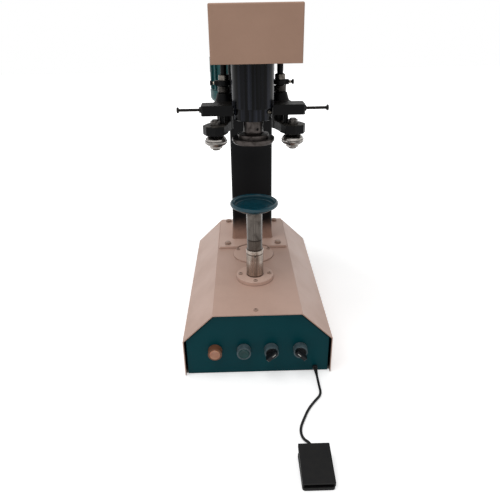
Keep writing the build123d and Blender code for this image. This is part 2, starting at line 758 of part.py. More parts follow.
def seaming_cam():
    base_r = math.hypot(*FOLLOWER) - FOLLOWER_R - CAM_GAP
    body = gear(WHEEL_TEETH, CAM_GEAR_Z, GEAR_T, 0, 0, 0)
    body += rod(CAM_HUB_R, CAM_GEAR_Z + GEAR_T - 1, CAM_Z[1] + CAM_T)
    for z, side, lag, lift in zip(CAM_Z, (1, -1), CAM_LAG, CAM_LIFT):
        contact = math.degrees(math.atan2(FOLLOWER[1], side * FOLLOWER[0]))
        body += prism(cam_face(base_r, lift, contact - lag), z, z + CAM_T)
    body -= rod(NECK_R + RUN_GAP, CAM_GEAR_Z - 1, CAM_Z[1] + CAM_T + 1)
    save(body, "seaming_cam")


def countershaft():
    y = -counter_distance()
    body = rod(COUNTER_R, DECK_Z0, COUNTER_TOP, 0, y)
    body += gear(PINION_TEETH, CAM_GEAR_Z, GEAR_T, 0, y, 90 + 180 / PINION_TEETH)
    save(body, "countershaft")


def clutch_drum():
    y = -counter_distance()
    z0 = COUNTER_WHEEL_Z + GEAR_T + CLUTCH_GAP
    drum = ring(CLUTCH_R, COUNTER_R, z0, z0 + CLUTCH_H, 0, y)
    drum = chamfer(drum.edges().group_by(Axis.Z)[-1].sort_by(SortBy.LENGTH)[-1], 1)
    save(drum, "clutch_drum")


def counter_wheel():
    y = -counter_distance()
    wheel = gear(WHEEL_TEETH, COUNTER_WHEEL_Z, GEAR_T, 0, y, 90)
    wheel -= rod(COUNTER_R + RUN_GAP, COUNTER_WHEEL_Z - 1, COUNTER_WHEEL_Z + GEAR_T + 1, 0, y)
    for i in range(WHEEL_HOLES):
        a = 2 * math.pi * i / WHEEL_HOLES
        hole = (WHEEL_HOLE_AT * math.cos(a), y + WHEEL_HOLE_AT * math.sin(a))
        wheel -= rod(WHEEL_HOLE_R, COUNTER_WHEEL_Z - 1, COUNTER_WHEEL_Z + GEAR_T + 1, *hole)
    save(wheel, "counter_wheel")


# Belt drive

def groove_half(depth, gap=0.0):
    return GROOVE_W / 2 - gap - depth * math.tan(math.radians(GROOVE_ANGLE))


def pulley(r, bore, x, y):
    z0, z1 = PULLEY_Z, PULLEY_Z + PULLEY_T
    mid = (z0 + z1) / 2
    top, low = groove_half(0), groove_half(GROOVE_DEPTH)
    profile = [(bore, z0), (r, z0), (r, mid - top), (r - GROOVE_DEPTH, mid - low)]
    profile += [(r - GROOVE_DEPTH, mid + low), (r, mid + top), (r, z1), (bore, z1)]
    return turned(profile, x, y)


def belt_section(r):
    """Belt profile on a pulley of radius r: (radius, height) corners with the belt a little free."""
    mid = PULLEY_Z + PULLEY_T / 2
    outer, inner = 0.5, GROOVE_DEPTH - 1.0
    wide, narrow = groove_half(outer, BELT_GAP), groove_half(inner, BELT_GAP)
    outside = [(r - outer, mid - wide), (r - outer, mid + wide)]
    return outside + [(r - inner, mid + narrow), (r - inner, mid - narrow)]


def v_belt():
    length = math.hypot(MOTOR_X, MOTOR_Y)
    heading = math.degrees(math.atan2(MOTOR_Y, MOTOR_X))
    lean = math.degrees(math.asin((DRIVEN_R - MOTOR_PULLEY_R) / length))
    driven = (DRIVEN_R, 0.0, 0.0, 90 - lean, 180 + 2 * lean)
    driver = (MOTOR_PULLEY_R, MOTOR_X, MOTOR_Y, -90 + lean, 180 - 2 * lean)
    belt = None
    for r, x, y, start, sweep in (driven, driver):
        face = make_face(Polyline(*[(q, 0, z) for q, z in belt_section(r)], close=True))
        arc = Pos(x, y, 0) * Rot(0, 0, heading + start) * revolve(face, Axis.Z, sweep)
        belt = arc if belt is None else belt + arc
    run = math.sqrt(length ** 2 - (DRIVEN_R - MOTOR_PULLEY_R) ** 2)
    for side in (-1, 1):
        face = make_face(Polyline(*[(side * q, 0, z) for q, z in belt_section(DRIVEN_R)], close=True))
        span = extrude(face, run, dir=(0, 1, 0))
        belt += Rot(0, 0, heading - 90 + side * lean) * span
    save(belt, "v_belt")


def motor():
    """Finned body between a rounded fan cowl below and an end shield with its spigot above."""
    r, low, high = MOTOR_R, MOTOR_Z0, DECK_Z0
    cowl = low + COWL_H
    corner = []
    for a in range(-90, 1, 18):
        bend = math.radians(a)
        corner.append((r - COWL_R + COWL_R * math.cos(bend), low + COWL_R + COWL_R * math.sin(bend)))
    shell, shield = r - MOTOR_BODY_IN, r - MOTOR_SHIELD_IN
    shield_top, shield_low = high - MOTOR_SHIELD_H[0], high - MOTOR_SHIELD_H[1]
    face = high - MOTOR_FLANGE_H
    profile = [(0, low)] + corner + [(r, cowl), (shell, cowl), (shell, shield_low), (shield, shield_low)]
    profile += [(shield, shield_top), (shield - 4, face), (MOTOR_FLANGE_R, face)]
    profile += [(MOTOR_FLANGE_R, high), (0, high)]
    body = turned(profile, MOTOR_X, MOTOR_Y)
    for i in range(MOTOR_FINS):
        fin = block((r - FIN_IN - FIN_DEPTH, r - FIN_IN), (-FIN_T / 2, FIN_T / 2), (cowl + 2, shield_low))
        body += Pos(MOTOR_X, MOTOR_Y, 0) * Rot(0, 0, 360 * i / MOTOR_FINS) * fin
    box_x, box_depth, box_low, box_high = TERMINAL_BOX
    box_y = MOTOR_Y + r - 8
    box_z = (high - box_low, high - box_high)
    body += block((MOTOR_X - box_x, MOTOR_X + box_x), (box_y, box_y + box_depth), box_z)
    body -= rod(MOTOR_SHAFT_R + RUN_GAP, high - 60, high + 1, MOTOR_X, MOTOR_Y)
    save(body, "motor")


def motor_shaft():
    shaft = rod(MOTOR_SHAFT_R, DECK_Z0 - 59, PULLEY_Z + PULLEY_T + 2, MOTOR_X, MOTOR_Y)
    save(chamfer(shaft.edges().group_by(Axis.Z)[-1], 0.8), "motor_shaft")


def hood():
    half = HOOD_W / 2
    outer = block((HOOD_X - half, HOOD_X + half), (HOOD_FRONT, HOOD_REAR), (HOOD_Z0, HOOD_Z1))
    edges = outer.edges().filter_by(Axis.Z) + outer.edges().group_by(Axis.Z)[-1]
    outer = fillet(edges, HOOD_EDGE_R)
    t = HOOD_SHEET
    x = (HOOD_X - half + t, HOOD_X + half - t)
    inner = block(x, (HOOD_FRONT + t, HOOD_REAR - t), (HOOD_Z0 - 1, HOOD_Z1 - t))
    inner = fillet(inner.edges().filter_by(Axis.Z) + inner.edges().group_by(Axis.Z)[-1], HOOD_EDGE_R - t)
    shell = outer - inner
    for side, y, z in hood_screw_places():
        x = HOOD_X + side * HOOD_W / 2
        shell -= rod_x(SCREW_R, x - 3, x + 3, y, z)
    save(shell, "hood")


# Seaming arms

def side_bracket():
    z0, z1 = BRACKET_Z0, BRACKET_Z0 + BRACKET_T
    body = block((20, BRACKET_OUT), BRACKET_Y, (z0, z1))
    body = chamfer(body.edges().filter_by(Axis.Z).group_by(Axis.X)[-1], 3)
    px, py = PIVOT
    wing = [(32, 20), (BRACKET_OUT - 22, BRACKET_Y[1] - 4), (px + BOSS_R, py), (px - BOSS_R, py)]
    body += prism(wing, z0, z1)
    body += rod(BOSS_R, z0, z1, px, py)
    body += Pos(px, py, (z1 + BOSS_TOP) / 2) * Cone(BOSS_R, BOSS_R - 4, BOSS_TOP - z1)
    body -= rod(BARREL_R, z0 - 1, BOSS_TOP + 1)
    body -= rod(PIVOT_R + RUN_GAP, z0 - 1, BOSS_TOP + 1, px, py)
    closed = turn_about(STOP_PIN, PIVOT, -ARM_SWING)
    opened = turn_about(STOP_PIN, PIVOT, ARM_LEAN)
    room = STOP_PIN_R + 1
    pocket_y = (min(closed[1], opened[1]) - room, opened[1] + room)
    body -= block((closed[0] - room, opened[0] + room), pocket_y, (z0 - 1, z1 - 5))
    body -= rod_x(STOP_BOLT_R, opened[0], BRACKET_OUT + 1, STOP_PIN[1], STOP_BOLT_Z)
    save_pair(body, "side_bracket")


def stop_bolt(rest):
    """Set screw and lock nut on the right, its tip just off the arm's stop pin where the arm rests."""
    y, z = STOP_PIN[1], STOP_BOLT_Z
    tip = rest[0] + STOP_PIN_R + STOP_GAP
    bolt = rod_x(STOP_BOLT_R, tip, STOP_BOLT_END, y, z)
    head = Pos(STOP_BOLT_END - 1, y, z) * Rot(0, 90, 0)
    bolt += head * hexagon(STOP_NUT_AF, 0, STOP_HEAD_H)
    nut = Pos(BRACKET_OUT, y, z) * Rot(0, 90, 0) * hexagon(STOP_NUT_AF, 0, STOP_NUT_H)
    return [bolt, nut - rod_x(STOP_BOLT_R, BRACKET_OUT - 1, BRACKET_OUT + STOP_NUT_H + 1, y, z)]


def stop_bolts():
    right = stop_bolt(turn_about(STOP_PIN, PIVOT, ARM_LEAN))
    left = [mirrored(piece) for piece in stop_bolt(turn_about(STOP_PIN, PIVOT, -ARM_LEAN))]
    save_group(right + left, "stop_bolts")


def return_springs():
    """Close-wound torsion springs, one turn on the next, round the pivot shafts."""
    room = LEVER_Z0 - SPRING_GAP - BOSS_TOP
    wire = room / SPRING_TURNS
    bulge = wire / 2
    outside = []
    for i in range(SPRING_TURNS):
        z = BOSS_TOP + wire * i
        outside += [(SPRING_COIL_R + bulge * 0.55, z), (SPRING_COIL_R + bulge, z + wire * 0.3)]
        outside += [(SPRING_COIL_R + bulge, z + wire * 0.7)]
    outside.append((SPRING_COIL_R + bulge * 0.55, BOSS_TOP + room))
    inner_r = SPRING_COIL_R - bulge
    coil = turned([(inner_r, BOSS_TOP)] + outside + [(inner_r, BOSS_TOP + room)], *PIVOT)
    save_group([coil, mirrored(coil)], "return_springs")


def leaned(shape, degrees):
    x, y = PIVOT
    return Pos(x, y, 0) * Rot(0, 0, degrees) * Pos(-x, -y, 0) * shape


def save_leaned(right, name):
    """The right arm rests a little further out than the left one, as their stops are set."""
    save(leaned(right, ARM_LEAN), name + "_right")
    save(mirrored(leaned(right, -ARM_LEAN)), name + "_left")


def arm_frame(u, v):
    length = math.hypot(ROLLER[0] - PIVOT[0], ROLLER[1] - PIVOT[1])
    ex = ((ROLLER[0] - PIVOT[0]) / length, (ROLLER[1] - PIVOT[1]) / length)
    return PIVOT[0] + u * ex[0] - v * ex[1], PIVOT[1] + u * ex[1] + v * ex[0]


def seaming_arm():
    reach = math.hypot(ROLLER[0] - PIVOT[0], ROLLER[1] - PIVOT[1])
    half = ((0, 14.5), (28, 18), (reach - 8, 22), (reach + 10, 22), (reach + 24, 9))
    outline = [arm_frame(u, v) for u, v in half] + [arm_frame(u, -v) for u, v in reversed(half)]
    z1 = ARM_Z0 + ARM_T
    body = prism(outline, ARM_Z0, z1)
    body = chamfer(body.edges().group_by(Axis.Z)[-1], 1)
    hub_top = BRACKET_Z0 - ARM_GAP
    body += rod(ARM_HUB_R, ARM_Z0, hub_top, *PIVOT)
    body -= rod(PIVOT_R, ARM_Z0 - 1, hub_top + 1, *PIVOT)
    body -= rod(ROLLER_PIN_R, ARM_Z0 - 1, z1 + 1, *ROLLER)
    body += rod(STOP_PIN_R, z1 - 1, BRACKET_Z0 + BRACKET_T - 6, *STOP_PIN)
    save_leaned(body, "seaming_arm")


def pivot_shaft():
    shaft = rod(PIVOT_R, PIVOT_Z0, PIVOT_STEP_Z, *PIVOT)
    shaft += rod(PIVOT_TOP_R, PIVOT_STEP_Z - 1, CAM_Z[1] + 13, *PIVOT)
    save_pair(chamfer(shaft.edges().group_by(Axis.Z)[0], 1), "pivot_shaft")


def pivot_collar():
    collar = ring(COLLAR_R, PIVOT_R, COLLAR_Z0, COLLAR_Z0 + COLLAR_H, *PIVOT)
    save_pair(collar, "pivot_collar")


def roller_pin():
    x, y = ROLLER
    top = ARM_Z0 + ARM_T
    (foot_r, foot_h), (flange_r, flange_h), (head_af, head_h) = PIN_FOOT, PIN_FLANGE, PIN_HEAD
    foot_z = ROLLER_Z0 - ARM_GAP
    pin = rod(foot_r, foot_z - foot_h, foot_z, x, y)
    pin += rod(ROLLER_PIN_R, ROLLER_Z0 - 1, top + flange_h + head_h + 2, x, y)
    pin += rod(flange_r, top, top + flange_h, x, y)
    pin += hexagon(head_af, top + flange_h, top + flange_h + head_h, x, y)
    save_leaned(pin, "roller_pin")


def seaming_roller():
    z = CHUCK_Z0
    bore = ROLLER_PIN_R + RUN_GAP
    top = ARM_Z0 - ARM_GAP
    profile = [(bore, ROLLER_Z0), (12, ROLLER_Z0), (13, ROLLER_Z0 + 4), (19, z - 3.5), (ROLLER_R, z)]
    profile += [(ROLLER_R - 1.1, z + 1), (ROLLER_R - 1.1, z + 2.6), (ROLLER_R, z + 3.4), (ROLLER_R, z + 4)]
    profile += [(20.3, z + 4.4), (20, z + 8), (15, z + 13), (11, z + 13.5), (10, top), (bore, top)]
    save_leaned(turned(profile, *ROLLER), "seaming_roller")


def adjusting_lever():
    z0, z1 = LEVER_Z0, LEVER_Z0 + LEVER_T
    px, py = PIVOT
    end = px + LEVER_LEN
    body = rod(LEVER_HUB_R, z0, z1, px, py)
    body += block((px, end), (py - LEVER_W / 2, py + LEVER_W / 2), (z0, z1))
    body -= rod(PIVOT_R, z0 - 1, z1 + 1, px, py)
    mid = (z0 + z1) / 2
    body += rod_x(LEVER_SCREW_R, end - 1, end + 7, py, mid)
    body += Pos(end + 6, py, mid) * Rot(0, 90, 0) * hexagon(LEVER_NUT_AF, 0, 4)
    save_pair(body, "adjusting_lever")


def cam_lever(z, side):
    z0 = z + CAM_T + 1
    z1 = z0 + CAM_LEVER_T
    (px, py), (fx, fy) = PIVOT, FOLLOWER
    across_arm = math.atan2(fy - py, fx - px) + math.pi / 2
    half_w = CAM_LEVER_HALF_W
    ox, oy = half_w * math.cos(across_arm), half_w * math.sin(across_arm)
    outline = [(px + ox, py + oy), (px - ox, py - oy), (fx - ox, fy - oy), (fx + ox, fy + oy)]
    body = prism(outline, z0, z1) + rod(CAM_LEVER_HUB_R, z0, z1, px, py) + rod(half_w, z0, z1, fx, fy)
    body += rod(FOLLOWER_PIN_R, z, z0 + 1, fx, fy)
    body -= rod(PIVOT_TOP_R, z0 - 1, z1 + 1, px, py)
    return body if side > 0 else mirrored(body)


def cam_follower(z, side):
    body = ring(FOLLOWER_R, FOLLOWER_PIN_R + RUN_GAP, z, z + CAM_T, *FOLLOWER)
    return body if side > 0 else mirrored(body)


def cam_levers():
    for z, side, name in zip(CAM_Z, (1, -1), ("right", "left")):
        save(cam_lever(z, side), "cam_lever_" + name)
        save(cam_follower(z, side), "cam_follower_" + name)


# Foot switch and its cable

def ear_places():
    near, far = SWITCH_W / 2 - 9, SWITCH_W / 2 - 5
    return [(SWITCH_X - far, SWITCH_X - near), (SWITCH_X + near, SWITCH_X + far)]


def foot_switch_base():
    x0, x1 = SWITCH_X - SWITCH_W / 2, SWITCH_X + SWITCH_W / 2
    y0, y1 = SWITCH_Y0, SWITCH_Y0 + SWITCH_LEN
    body = block((x0, x1), (y0, y1), (0, SWITCH_FLOOR_T))
    body = fillet(body.edges().filter_by(Axis.Z), SWITCH_CORNER_R)
    box_in, box_len, box_top = SWITCH_BOX
    body += block((x0 + box_in, x1 - box_in), (y1 - box_len, y1), (SWITCH_FLOOR_T - 1, box_top))
    hinge_y, hinge_z = TREADLE_HINGE
    for wall in ear_places():
        body += block(wall, (hinge_y - EAR_R, hinge_y + EAR_R), (SWITCH_FLOOR_T - 1, hinge_z))
        body += rod_x(EAR_R, *wall, hinge_y, hinge_z)
        body -= rod_x(TREADLE_PIN_R + RUN_GAP, wall[0] - 1, wall[1] + 1, hinge_y, hinge_z)
    save(body, "foot_switch_base")


def side_prism(points, x0, x1):
    face = make_face(Polyline(*[(x0, y, z) for y, z in points], close=True))
    return extrude(face, x1 - x0, dir=(1, 0, 0))


def foot_treadle():
    hinge_y, hinge_z = TREADLE_HINGE
    y0, y1 = SWITCH_Y0 + 1, SWITCH_Y0 + SWITCH_LEN - 2
    x0, x1 = SWITCH_X - SWITCH_W / 2, SWITCH_X + SWITCH_W / 2
    t = TREADLE_T
    body = side_prism([(y0, TREADLE_LOW), (y1, SWITCH_H), (y1, SWITCH_H - t), (y0, TREADLE_LOW - t)], x0, x1)
    body += block((x0, x1), (y1 - TREADLE_WALL, y1), (SWITCH_H - 8, SWITCH_H - 1))
    skirt = [(y0, TREADLE_LOW - 1), (y1, SWITCH_H - 1), (y1, SWITCH_H - 8), (hinge_y + 10, hinge_z)]
    skirt += [(y0, hinge_z - 1)]
    for edge, wall in zip((x0, x1 - TREADLE_WALL), ear_places()):
        body += side_prism(skirt, edge, edge + TREADLE_WALL)
        ends = (edge + 1, wall[1]) if edge == x0 else (wall[0], edge + 1)
        body += rod_x(TREADLE_PIN_R, *ends, hinge_y, hinge_z)
    save(body, "foot_treadle")


def foot_switch_cable():
    start = (CABLE_X, PANEL_FACE - GLAND_OUT, CABLE_Z)
    route = [start] + CABLE_ROUTE + [(SWITCH_X, SWITCH_Y0 + SWITCH_LEN, CABLE_END_Z)]
    points = [Vector(*p) for p in route]
    radii = []
    for a, b, c in zip(points, points[1:], points[2:]):
        turn = (b - a).get_angle(c - b)
        run = min((b - a).length, (c - b).length)
        radii.append(0.45 * run / math.tan(math.radians(turn) / 2))
        print("run", round(run, 1), "turn", round(turn, 1), "radius", round(radii[-1], 1))
    path = FilletPolyline(*route, radius=radii)
    tube = sweep(Plane(path @ 0, z_dir=path % 0) * Circle(CABLE_R), path)
    section = math.pi * CABLE_R ** 2
    print("cable length", round(path.length, 1), "volume ratio", tube.volume / (section * path.length))
    save(tube, "foot_switch_cable")


base_frame()
body_cover()
front_panel()
cable_glands()
access_cover()
cover_screws()
column_base_plate()
column()
column_bolts()
lift_flange()
guide_sleeve()
lift_cylinder()
lift_shaft()
turntable_bearings()
turntable()
control_bodies()
controls()
deck_plate()
head_bridge()
spindle_barrel()
nose_cap()
spindle_bearings()
chuck()
spindle()
seaming_cam()
countershaft()
clutch_drum()
counter_wheel()
save(pulley(DRIVEN_R, SPINDLE_TOP_R, 0, 0), "driven_pulley")
save(pulley(MOTOR_PULLEY_R, MOTOR_SHAFT_R, MOTOR_X, MOTOR_Y), "motor_pulley")
v_belt()
motor()
motor_shaft()
hood()
side_bracket()
stop_bolts()
return_springs()
seaming_arm()
pivot_shaft()
pivot_collar()
roller_pin()
seaming_roller()
adjusting_lever()
cam_levers()
foot_switch_base()
foot_treadle()
foot_switch_cable()
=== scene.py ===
import math

import bmesh
import bpy
from mathutils import Matrix, Vector


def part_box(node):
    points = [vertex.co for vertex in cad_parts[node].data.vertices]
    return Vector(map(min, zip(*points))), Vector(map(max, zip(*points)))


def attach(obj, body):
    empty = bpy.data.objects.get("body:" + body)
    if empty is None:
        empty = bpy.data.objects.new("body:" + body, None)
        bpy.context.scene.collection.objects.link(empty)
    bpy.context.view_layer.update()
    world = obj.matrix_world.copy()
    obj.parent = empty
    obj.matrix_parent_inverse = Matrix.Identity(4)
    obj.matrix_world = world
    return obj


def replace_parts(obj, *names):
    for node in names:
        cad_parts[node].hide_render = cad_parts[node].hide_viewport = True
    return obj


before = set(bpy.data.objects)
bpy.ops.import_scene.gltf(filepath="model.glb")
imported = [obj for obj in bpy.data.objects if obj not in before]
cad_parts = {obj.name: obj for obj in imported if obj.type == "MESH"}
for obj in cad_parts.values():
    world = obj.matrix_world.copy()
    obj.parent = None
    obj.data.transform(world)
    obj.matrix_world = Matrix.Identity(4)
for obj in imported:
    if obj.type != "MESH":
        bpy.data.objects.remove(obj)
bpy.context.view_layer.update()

# Camera
# It stands a little under a metre in front of the machine at head height and looks down at it,
# turned one degree to the right and tilted by as much, as the photograph was taken.

lens = bpy.data.cameras.new("camera")
lens.sensor_width = 36.0
lens.lens = 34.08
lens.shift_y = -0.0198
camera = bpy.data.objects.new("camera", lens)
to_right = Vector((0.9996, -0.0238, -0.0154))
to_top = Vector((0.0241, 0.4241, 0.9053))
camera.matrix_world = Matrix((to_right, to_top, to_right.cross(to_top))).transposed().to_4x4()
camera.location = (-0.0251, -0.9184, 0.6665)
bpy.context.scene.collection.objects.link(camera)
bpy.context.scene.camera = camera

# Base frame
# A thick floor plate with a welded stand under the column, in mild steel. The cover hides it, so it
# was only brushed with grey primer.


def srgb(text):
    """The linear colour of an sRGB hex value."""
    parts = [int(text[i:i + 2], 16) / 255 for i in (1, 3, 5)]
    return [p / 12.92 if p <= 0.04045 else ((p + 0.055) / 1.055) ** 2.4 for p in parts] + [1.0]


def feed(tree, node, sockets):
    """Gives a node its inputs: another node's output is linked, a plain value is set."""
    for name, value in sockets.items():
        if isinstance(value, bpy.types.NodeSocket):
            tree.links.new(value, node.inputs[name])
        else:
            node.inputs[name].default_value = value


def add(tree, kind, sockets, **settings):
    """Adds one node with its settings and inputs, and gives back its outputs."""
    node = tree.nodes.new(kind)
    for name, value in settings.items():
        setattr(node, name, value)
    feed(tree, node, sockets)
    return node.outputs


def blank(name):
    """A new material: its node tree, its shader and the object's own coordinates."""
    material = bpy.data.materials.new(name)
    material.use_nodes = True
    tree = material.node_tree
    place = add(tree, "ShaderNodeTexCoord", {})["Object"]
    return material, tree, tree.nodes["Principled BSDF"], place


def dress(material, *names):
    """Gives CAD nodes their finish."""
    for name in names:
        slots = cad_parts[name].data.materials
        slots.clear()
        slots.append(material)


def brushed_primer(name, coat, streak):
    """Flat grey paint laid on by hand: streaks run along the brush, and nothing shines."""
    material, tree, shader, place = blank(name)
    # Streaks are 25 mm long and 1.4 mm wide, from a stiff brush.
    drag = add(tree, "ShaderNodeVectorMath", {0: place, 1: (40.0, 700.0, 700.0)}, operation="MULTIPLY")[0]
    marks = add(tree, "ShaderNodeTexNoise", {"Vector": drag, "Scale": 1.0, "Detail": 4.0})[0]
    mask = add(tree, "ShaderNodeMapRange", {"Value": marks, "From Min": 0.35, "From Max": 0.7})[0]
    colour = add(tree, "ShaderNodeMix", {0: mask, 6: srgb(coat), 7: srgb(streak)}, data_type="RGBA")[2]
    bump = add(tree, "ShaderNodeBump", {"Strength": 0.3, "Distance": 0.0003, "Height": marks})[0]
    feed(tree, shader, {"Base Color": colour, "Roughness": 0.7, "Normal": bump})
    return material


grey_primer = brushed_primer("grey_primer", "#4B4C4C", "#5D5B57")
dress(grey_primer, "base_frame")

# Base cover and the other beige sheet
# Folded mild steel, sprayed with beige enamel and baked, then screwed to the base frame. The lid, the
# flange and the column's foot plate are given a paler beige as painted highlight.


def worn_edge(tree, radius):
    """A softened edge: its normal, and how much of an edge a spot is."""
    soft = add(tree, "ShaderNodeBevel", {"Radius": radius}, samples=4)[0]
    flat = add(tree, "ShaderNodeNewGeometry", {})["Normal"]
    alike = add(tree, "ShaderNodeVectorMath", {0: soft, 1: flat}, operation="DOT_PRODUCT")["Value"]
    edge = add(tree, "ShaderNodeMapRange", {"Value": alike, "From Min": 0.985, "From Max": 0.86})[0]
    return soft, edge


def sprayed_enamel(name, coat, dusty, rubbed, roughness, peel_mm=1.6, peel=0.12, specular=0.28):
    """Baked spray paint: fine orange peel, dust in clouds, painted shade in gaps and thin paint on the folds.
    """
    material, tree, shader, place = blank(name)
    soft, edge = worn_edge(tree, 0.0011)
    cloud = add(tree, "ShaderNodeTexNoise", {"Vector": place, "Scale": 1000 / 90, "Detail": 6.0,
                                             "Roughness": 0.6})[0]
    specks = add(tree, "ShaderNodeTexNoise", {"Vector": place, "Scale": 1000 / 2.2, "Detail": 3.0})[0]
    dust = add(tree, "ShaderNodeMapRange", {"Value": cloud, "From Min": 0.42, "From Max": 0.72,
                                            "To Max": 0.45})[0]
    grain = add(tree, "ShaderNodeMapRange", {"Value": specks, "From Min": 0.62, "From Max": 0.74,
                                             "To Max": 0.4})[0]
    coated = add(tree, "ShaderNodeMix", {0: dust, 6: srgb(coat), 7: srgb(dusty)}, data_type="RGBA")[2]
    coated = add(tree, "ShaderNodeMix", {0: grain, 6: coated, 7: srgb(dusty)}, data_type="RGBA")[2]
    chips = add(tree, "ShaderNodeTexNoise", {"Vector": place, "Scale": 1000 / 12, "Detail": 5.0})[0]
    chips = add(tree, "ShaderNodeMapRange", {"Value": chips, "From Min": 0.45, "From Max": 0.62,
                                             "To Max": 0.75})[0]
    bare = add(tree, "ShaderNodeMath", {0: edge, 1: chips}, operation="MULTIPLY")[0]
    colour = add(tree, "ShaderNodeMix", {0: bare, 6: coated, 7: srgb(rubbed)}, data_type="RGBA")[2]
    # Painted shade: ambient occlusion darkens gaps, corners and the paint round bolts towards dark brown.
    painted_shade_in_gaps = add(tree, "ShaderNodeAmbientOcclusion", {"Distance": 0.004}, samples=8)["AO"]
    painted_shade_in_gaps = add(tree, "ShaderNodeMapRange", {"Value": painted_shade_in_gaps, "From Min": 0.3, "From Max": 0.75,
                                            "To Min": 0.8, "To Max": 0.0})[0]
    colour = add(tree, "ShaderNodeMix", {0: painted_shade_in_gaps, 6: colour, 7: srgb("#33251D")}, data_type="RGBA")[2]
    dull = add(tree, "ShaderNodeMapRange", {"Value": cloud, "From Min": 0.3, "From Max": 0.7,
                                            "To Min": roughness, "To Max": roughness + 0.16})[0]
    skin = add(tree, "ShaderNodeTexNoise", {"Vector": place, "Scale": 1000 / peel_mm, "Detail": 2.0})[0]
    bump = add(tree, "ShaderNodeBump", {"Strength": peel, "Distance": 0.0004, "Height": skin,
                                        "Normal": soft})[0]
    feed(tree, shader, {"Base Color": colour, "Roughness": dull, "Normal": bump,
                        "Specular IOR Level": specular})
    return material


def repaint(material, mask, text):
    """Lays another colour over a finish where a mask reads 1."""
    tree = material.node_tree
    coat = tree.nodes["Principled BSDF"].inputs["Base Color"]
    under = coat.links[0].from_socket
    both = add(tree, "ShaderNodeMix", {0: mask, 6: under, 7: srgb(text)}, data_type="RGBA")[2]
    tree.links.new(both, coat)


beige_enamel = sprayed_enamel("beige_enamel", "#C0A091", "#AE9284", "#937C6F", 0.33)

# A face that looks back at the middle of the base is painted nearly black as shade, and makes the dark
# line round the panel.
tree = beige_enamel.node_tree
middle = (0.0, 0.0, 0.05)
away = add(tree, "ShaderNodeTexCoord", {})["Object"]
away = add(tree, "ShaderNodeVectorMath", {0: away, 1: middle}, operation="SUBTRACT")[0]
away = add(tree, "ShaderNodeVectorMath", {0: away, 1: (1.0, 0.0, 1.0)}, operation="MULTIPLY")[0]
facing = add(tree, "ShaderNodeNewGeometry", {})["True Normal"]
facing = add(tree, "ShaderNodeVectorMath", {0: away, 1: facing}, operation="DOT_PRODUCT")["Value"]
painted_shade_inside = add(tree, "ShaderNodeMath", {0: facing, 1: -0.005}, operation="LESS_THAN")[0]
repaint(beige_enamel, painted_shade_inside, "#0B0A0A")
dress(beige_enamel, "body_cover")

# Painted highlight: the lid, the flange and the foot plate take a paler beige.
beige_with_painted_highlight = sprayed_enamel("beige_enamel_with_painted_highlight", "#CCAD9E", "#BA9D90", "#8B7366", 0.3)
dress(beige_with_painted_highlight, "access_cover", "lift_flange", "column_base_plate")

# Front panel
# A flat plate of the same steel, set back behind the cover's front edge. Its deep teal enamel is
# glossier than the beige, with a finer but deeper orange peel.

teal_enamel = sprayed_enamel("teal_enamel", "#003A41", "#024147", "#1B4B4E", 0.26, 1.3, 0.16, specular=0.08)
dress(teal_enamel, "front_panel")

# Cover screws
# Pan-head steel screws with a cross recess hold the cover, the lid, the flange and the hood. They were
# sprayed over in place, so they are a darker beige, rubbed where the driver has been.


def skinned(mesh, rings, *caps):
    """Joins equal rings of points with faces, and closes the rings that are given as caps."""
    around = len(rings[0])
    for low, high in zip(rings, rings[1:]):
        for j in range(around):
            k = (j + 1) % around
            mesh.faces.new((low[j], low[k], high[k], high[j]))
    for ring in caps:
        mesh.faces.new(ring)
    bmesh.ops.recalc_face_normals(mesh, faces=mesh.faces)
    return mesh


def gathered(placed):
    """One mesh that holds a copy of each (mesh, placing matrix)."""
    together = bmesh.new()
    for mesh, place in placed:
        data = bpy.data.meshes.new("copied")
        mesh.to_mesh(data)
        data.transform(place)
        together.from_mesh(data)
        bpy.data.meshes.remove(data)
    return together


def piece(name, mesh, material, body, smooth_below=35):
    """Links a finished mesh as one named piece that rides on a body."""
    data = bpy.data.meshes.new(name)
    mesh.to_mesh(data)
    mesh.free()
    data.materials.append(material)
    made = bpy.data.objects.new(name, data)
    bpy.context.scene.collection.objects.link(made)
    data.shade_smooth()
    data.set_sharp_from_angle(angle=math.radians(smooth_below))
    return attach(made, body)


def pan_head(radius, height, recess):
    """A domed head with a cross recess: each ring dips where the arms of the cross run."""
    mesh = bmesh.new()
    around, across = 40, 9
    arm_width, arm_length = radius * 0.16, radius * 0.62
    rings = []
    for i in range(1, across + 1):
        r = radius * i / across
        dome = height * (1 - 0.45 * (r / radius) ** 4)
        ring = []
        for j in range(around):
            a = 2 * math.pi * j / around
            x, y = r * math.cos(a), r * math.sin(a)
            in_cross = min(abs(x), abs(y)) < arm_width and r < arm_length
            ring.append(mesh.verts.new((x, y, dome - recess if in_cross else dome)))
        rings.append(ring)
    rings.append([mesh.verts.new((v.co.x, v.co.y, 0.0)) for v in rings[-1]])
    return skinned(mesh, rings, rings[0])


def on_circle(middle, radius, *degrees):
    """A placing matrix at each angle on a level circle."""
    turns = [math.radians(angle) for angle in degrees]
    return [Matrix.Translation(middle + radius * Vector((math.cos(a), math.sin(a), 0))) for a in turns]


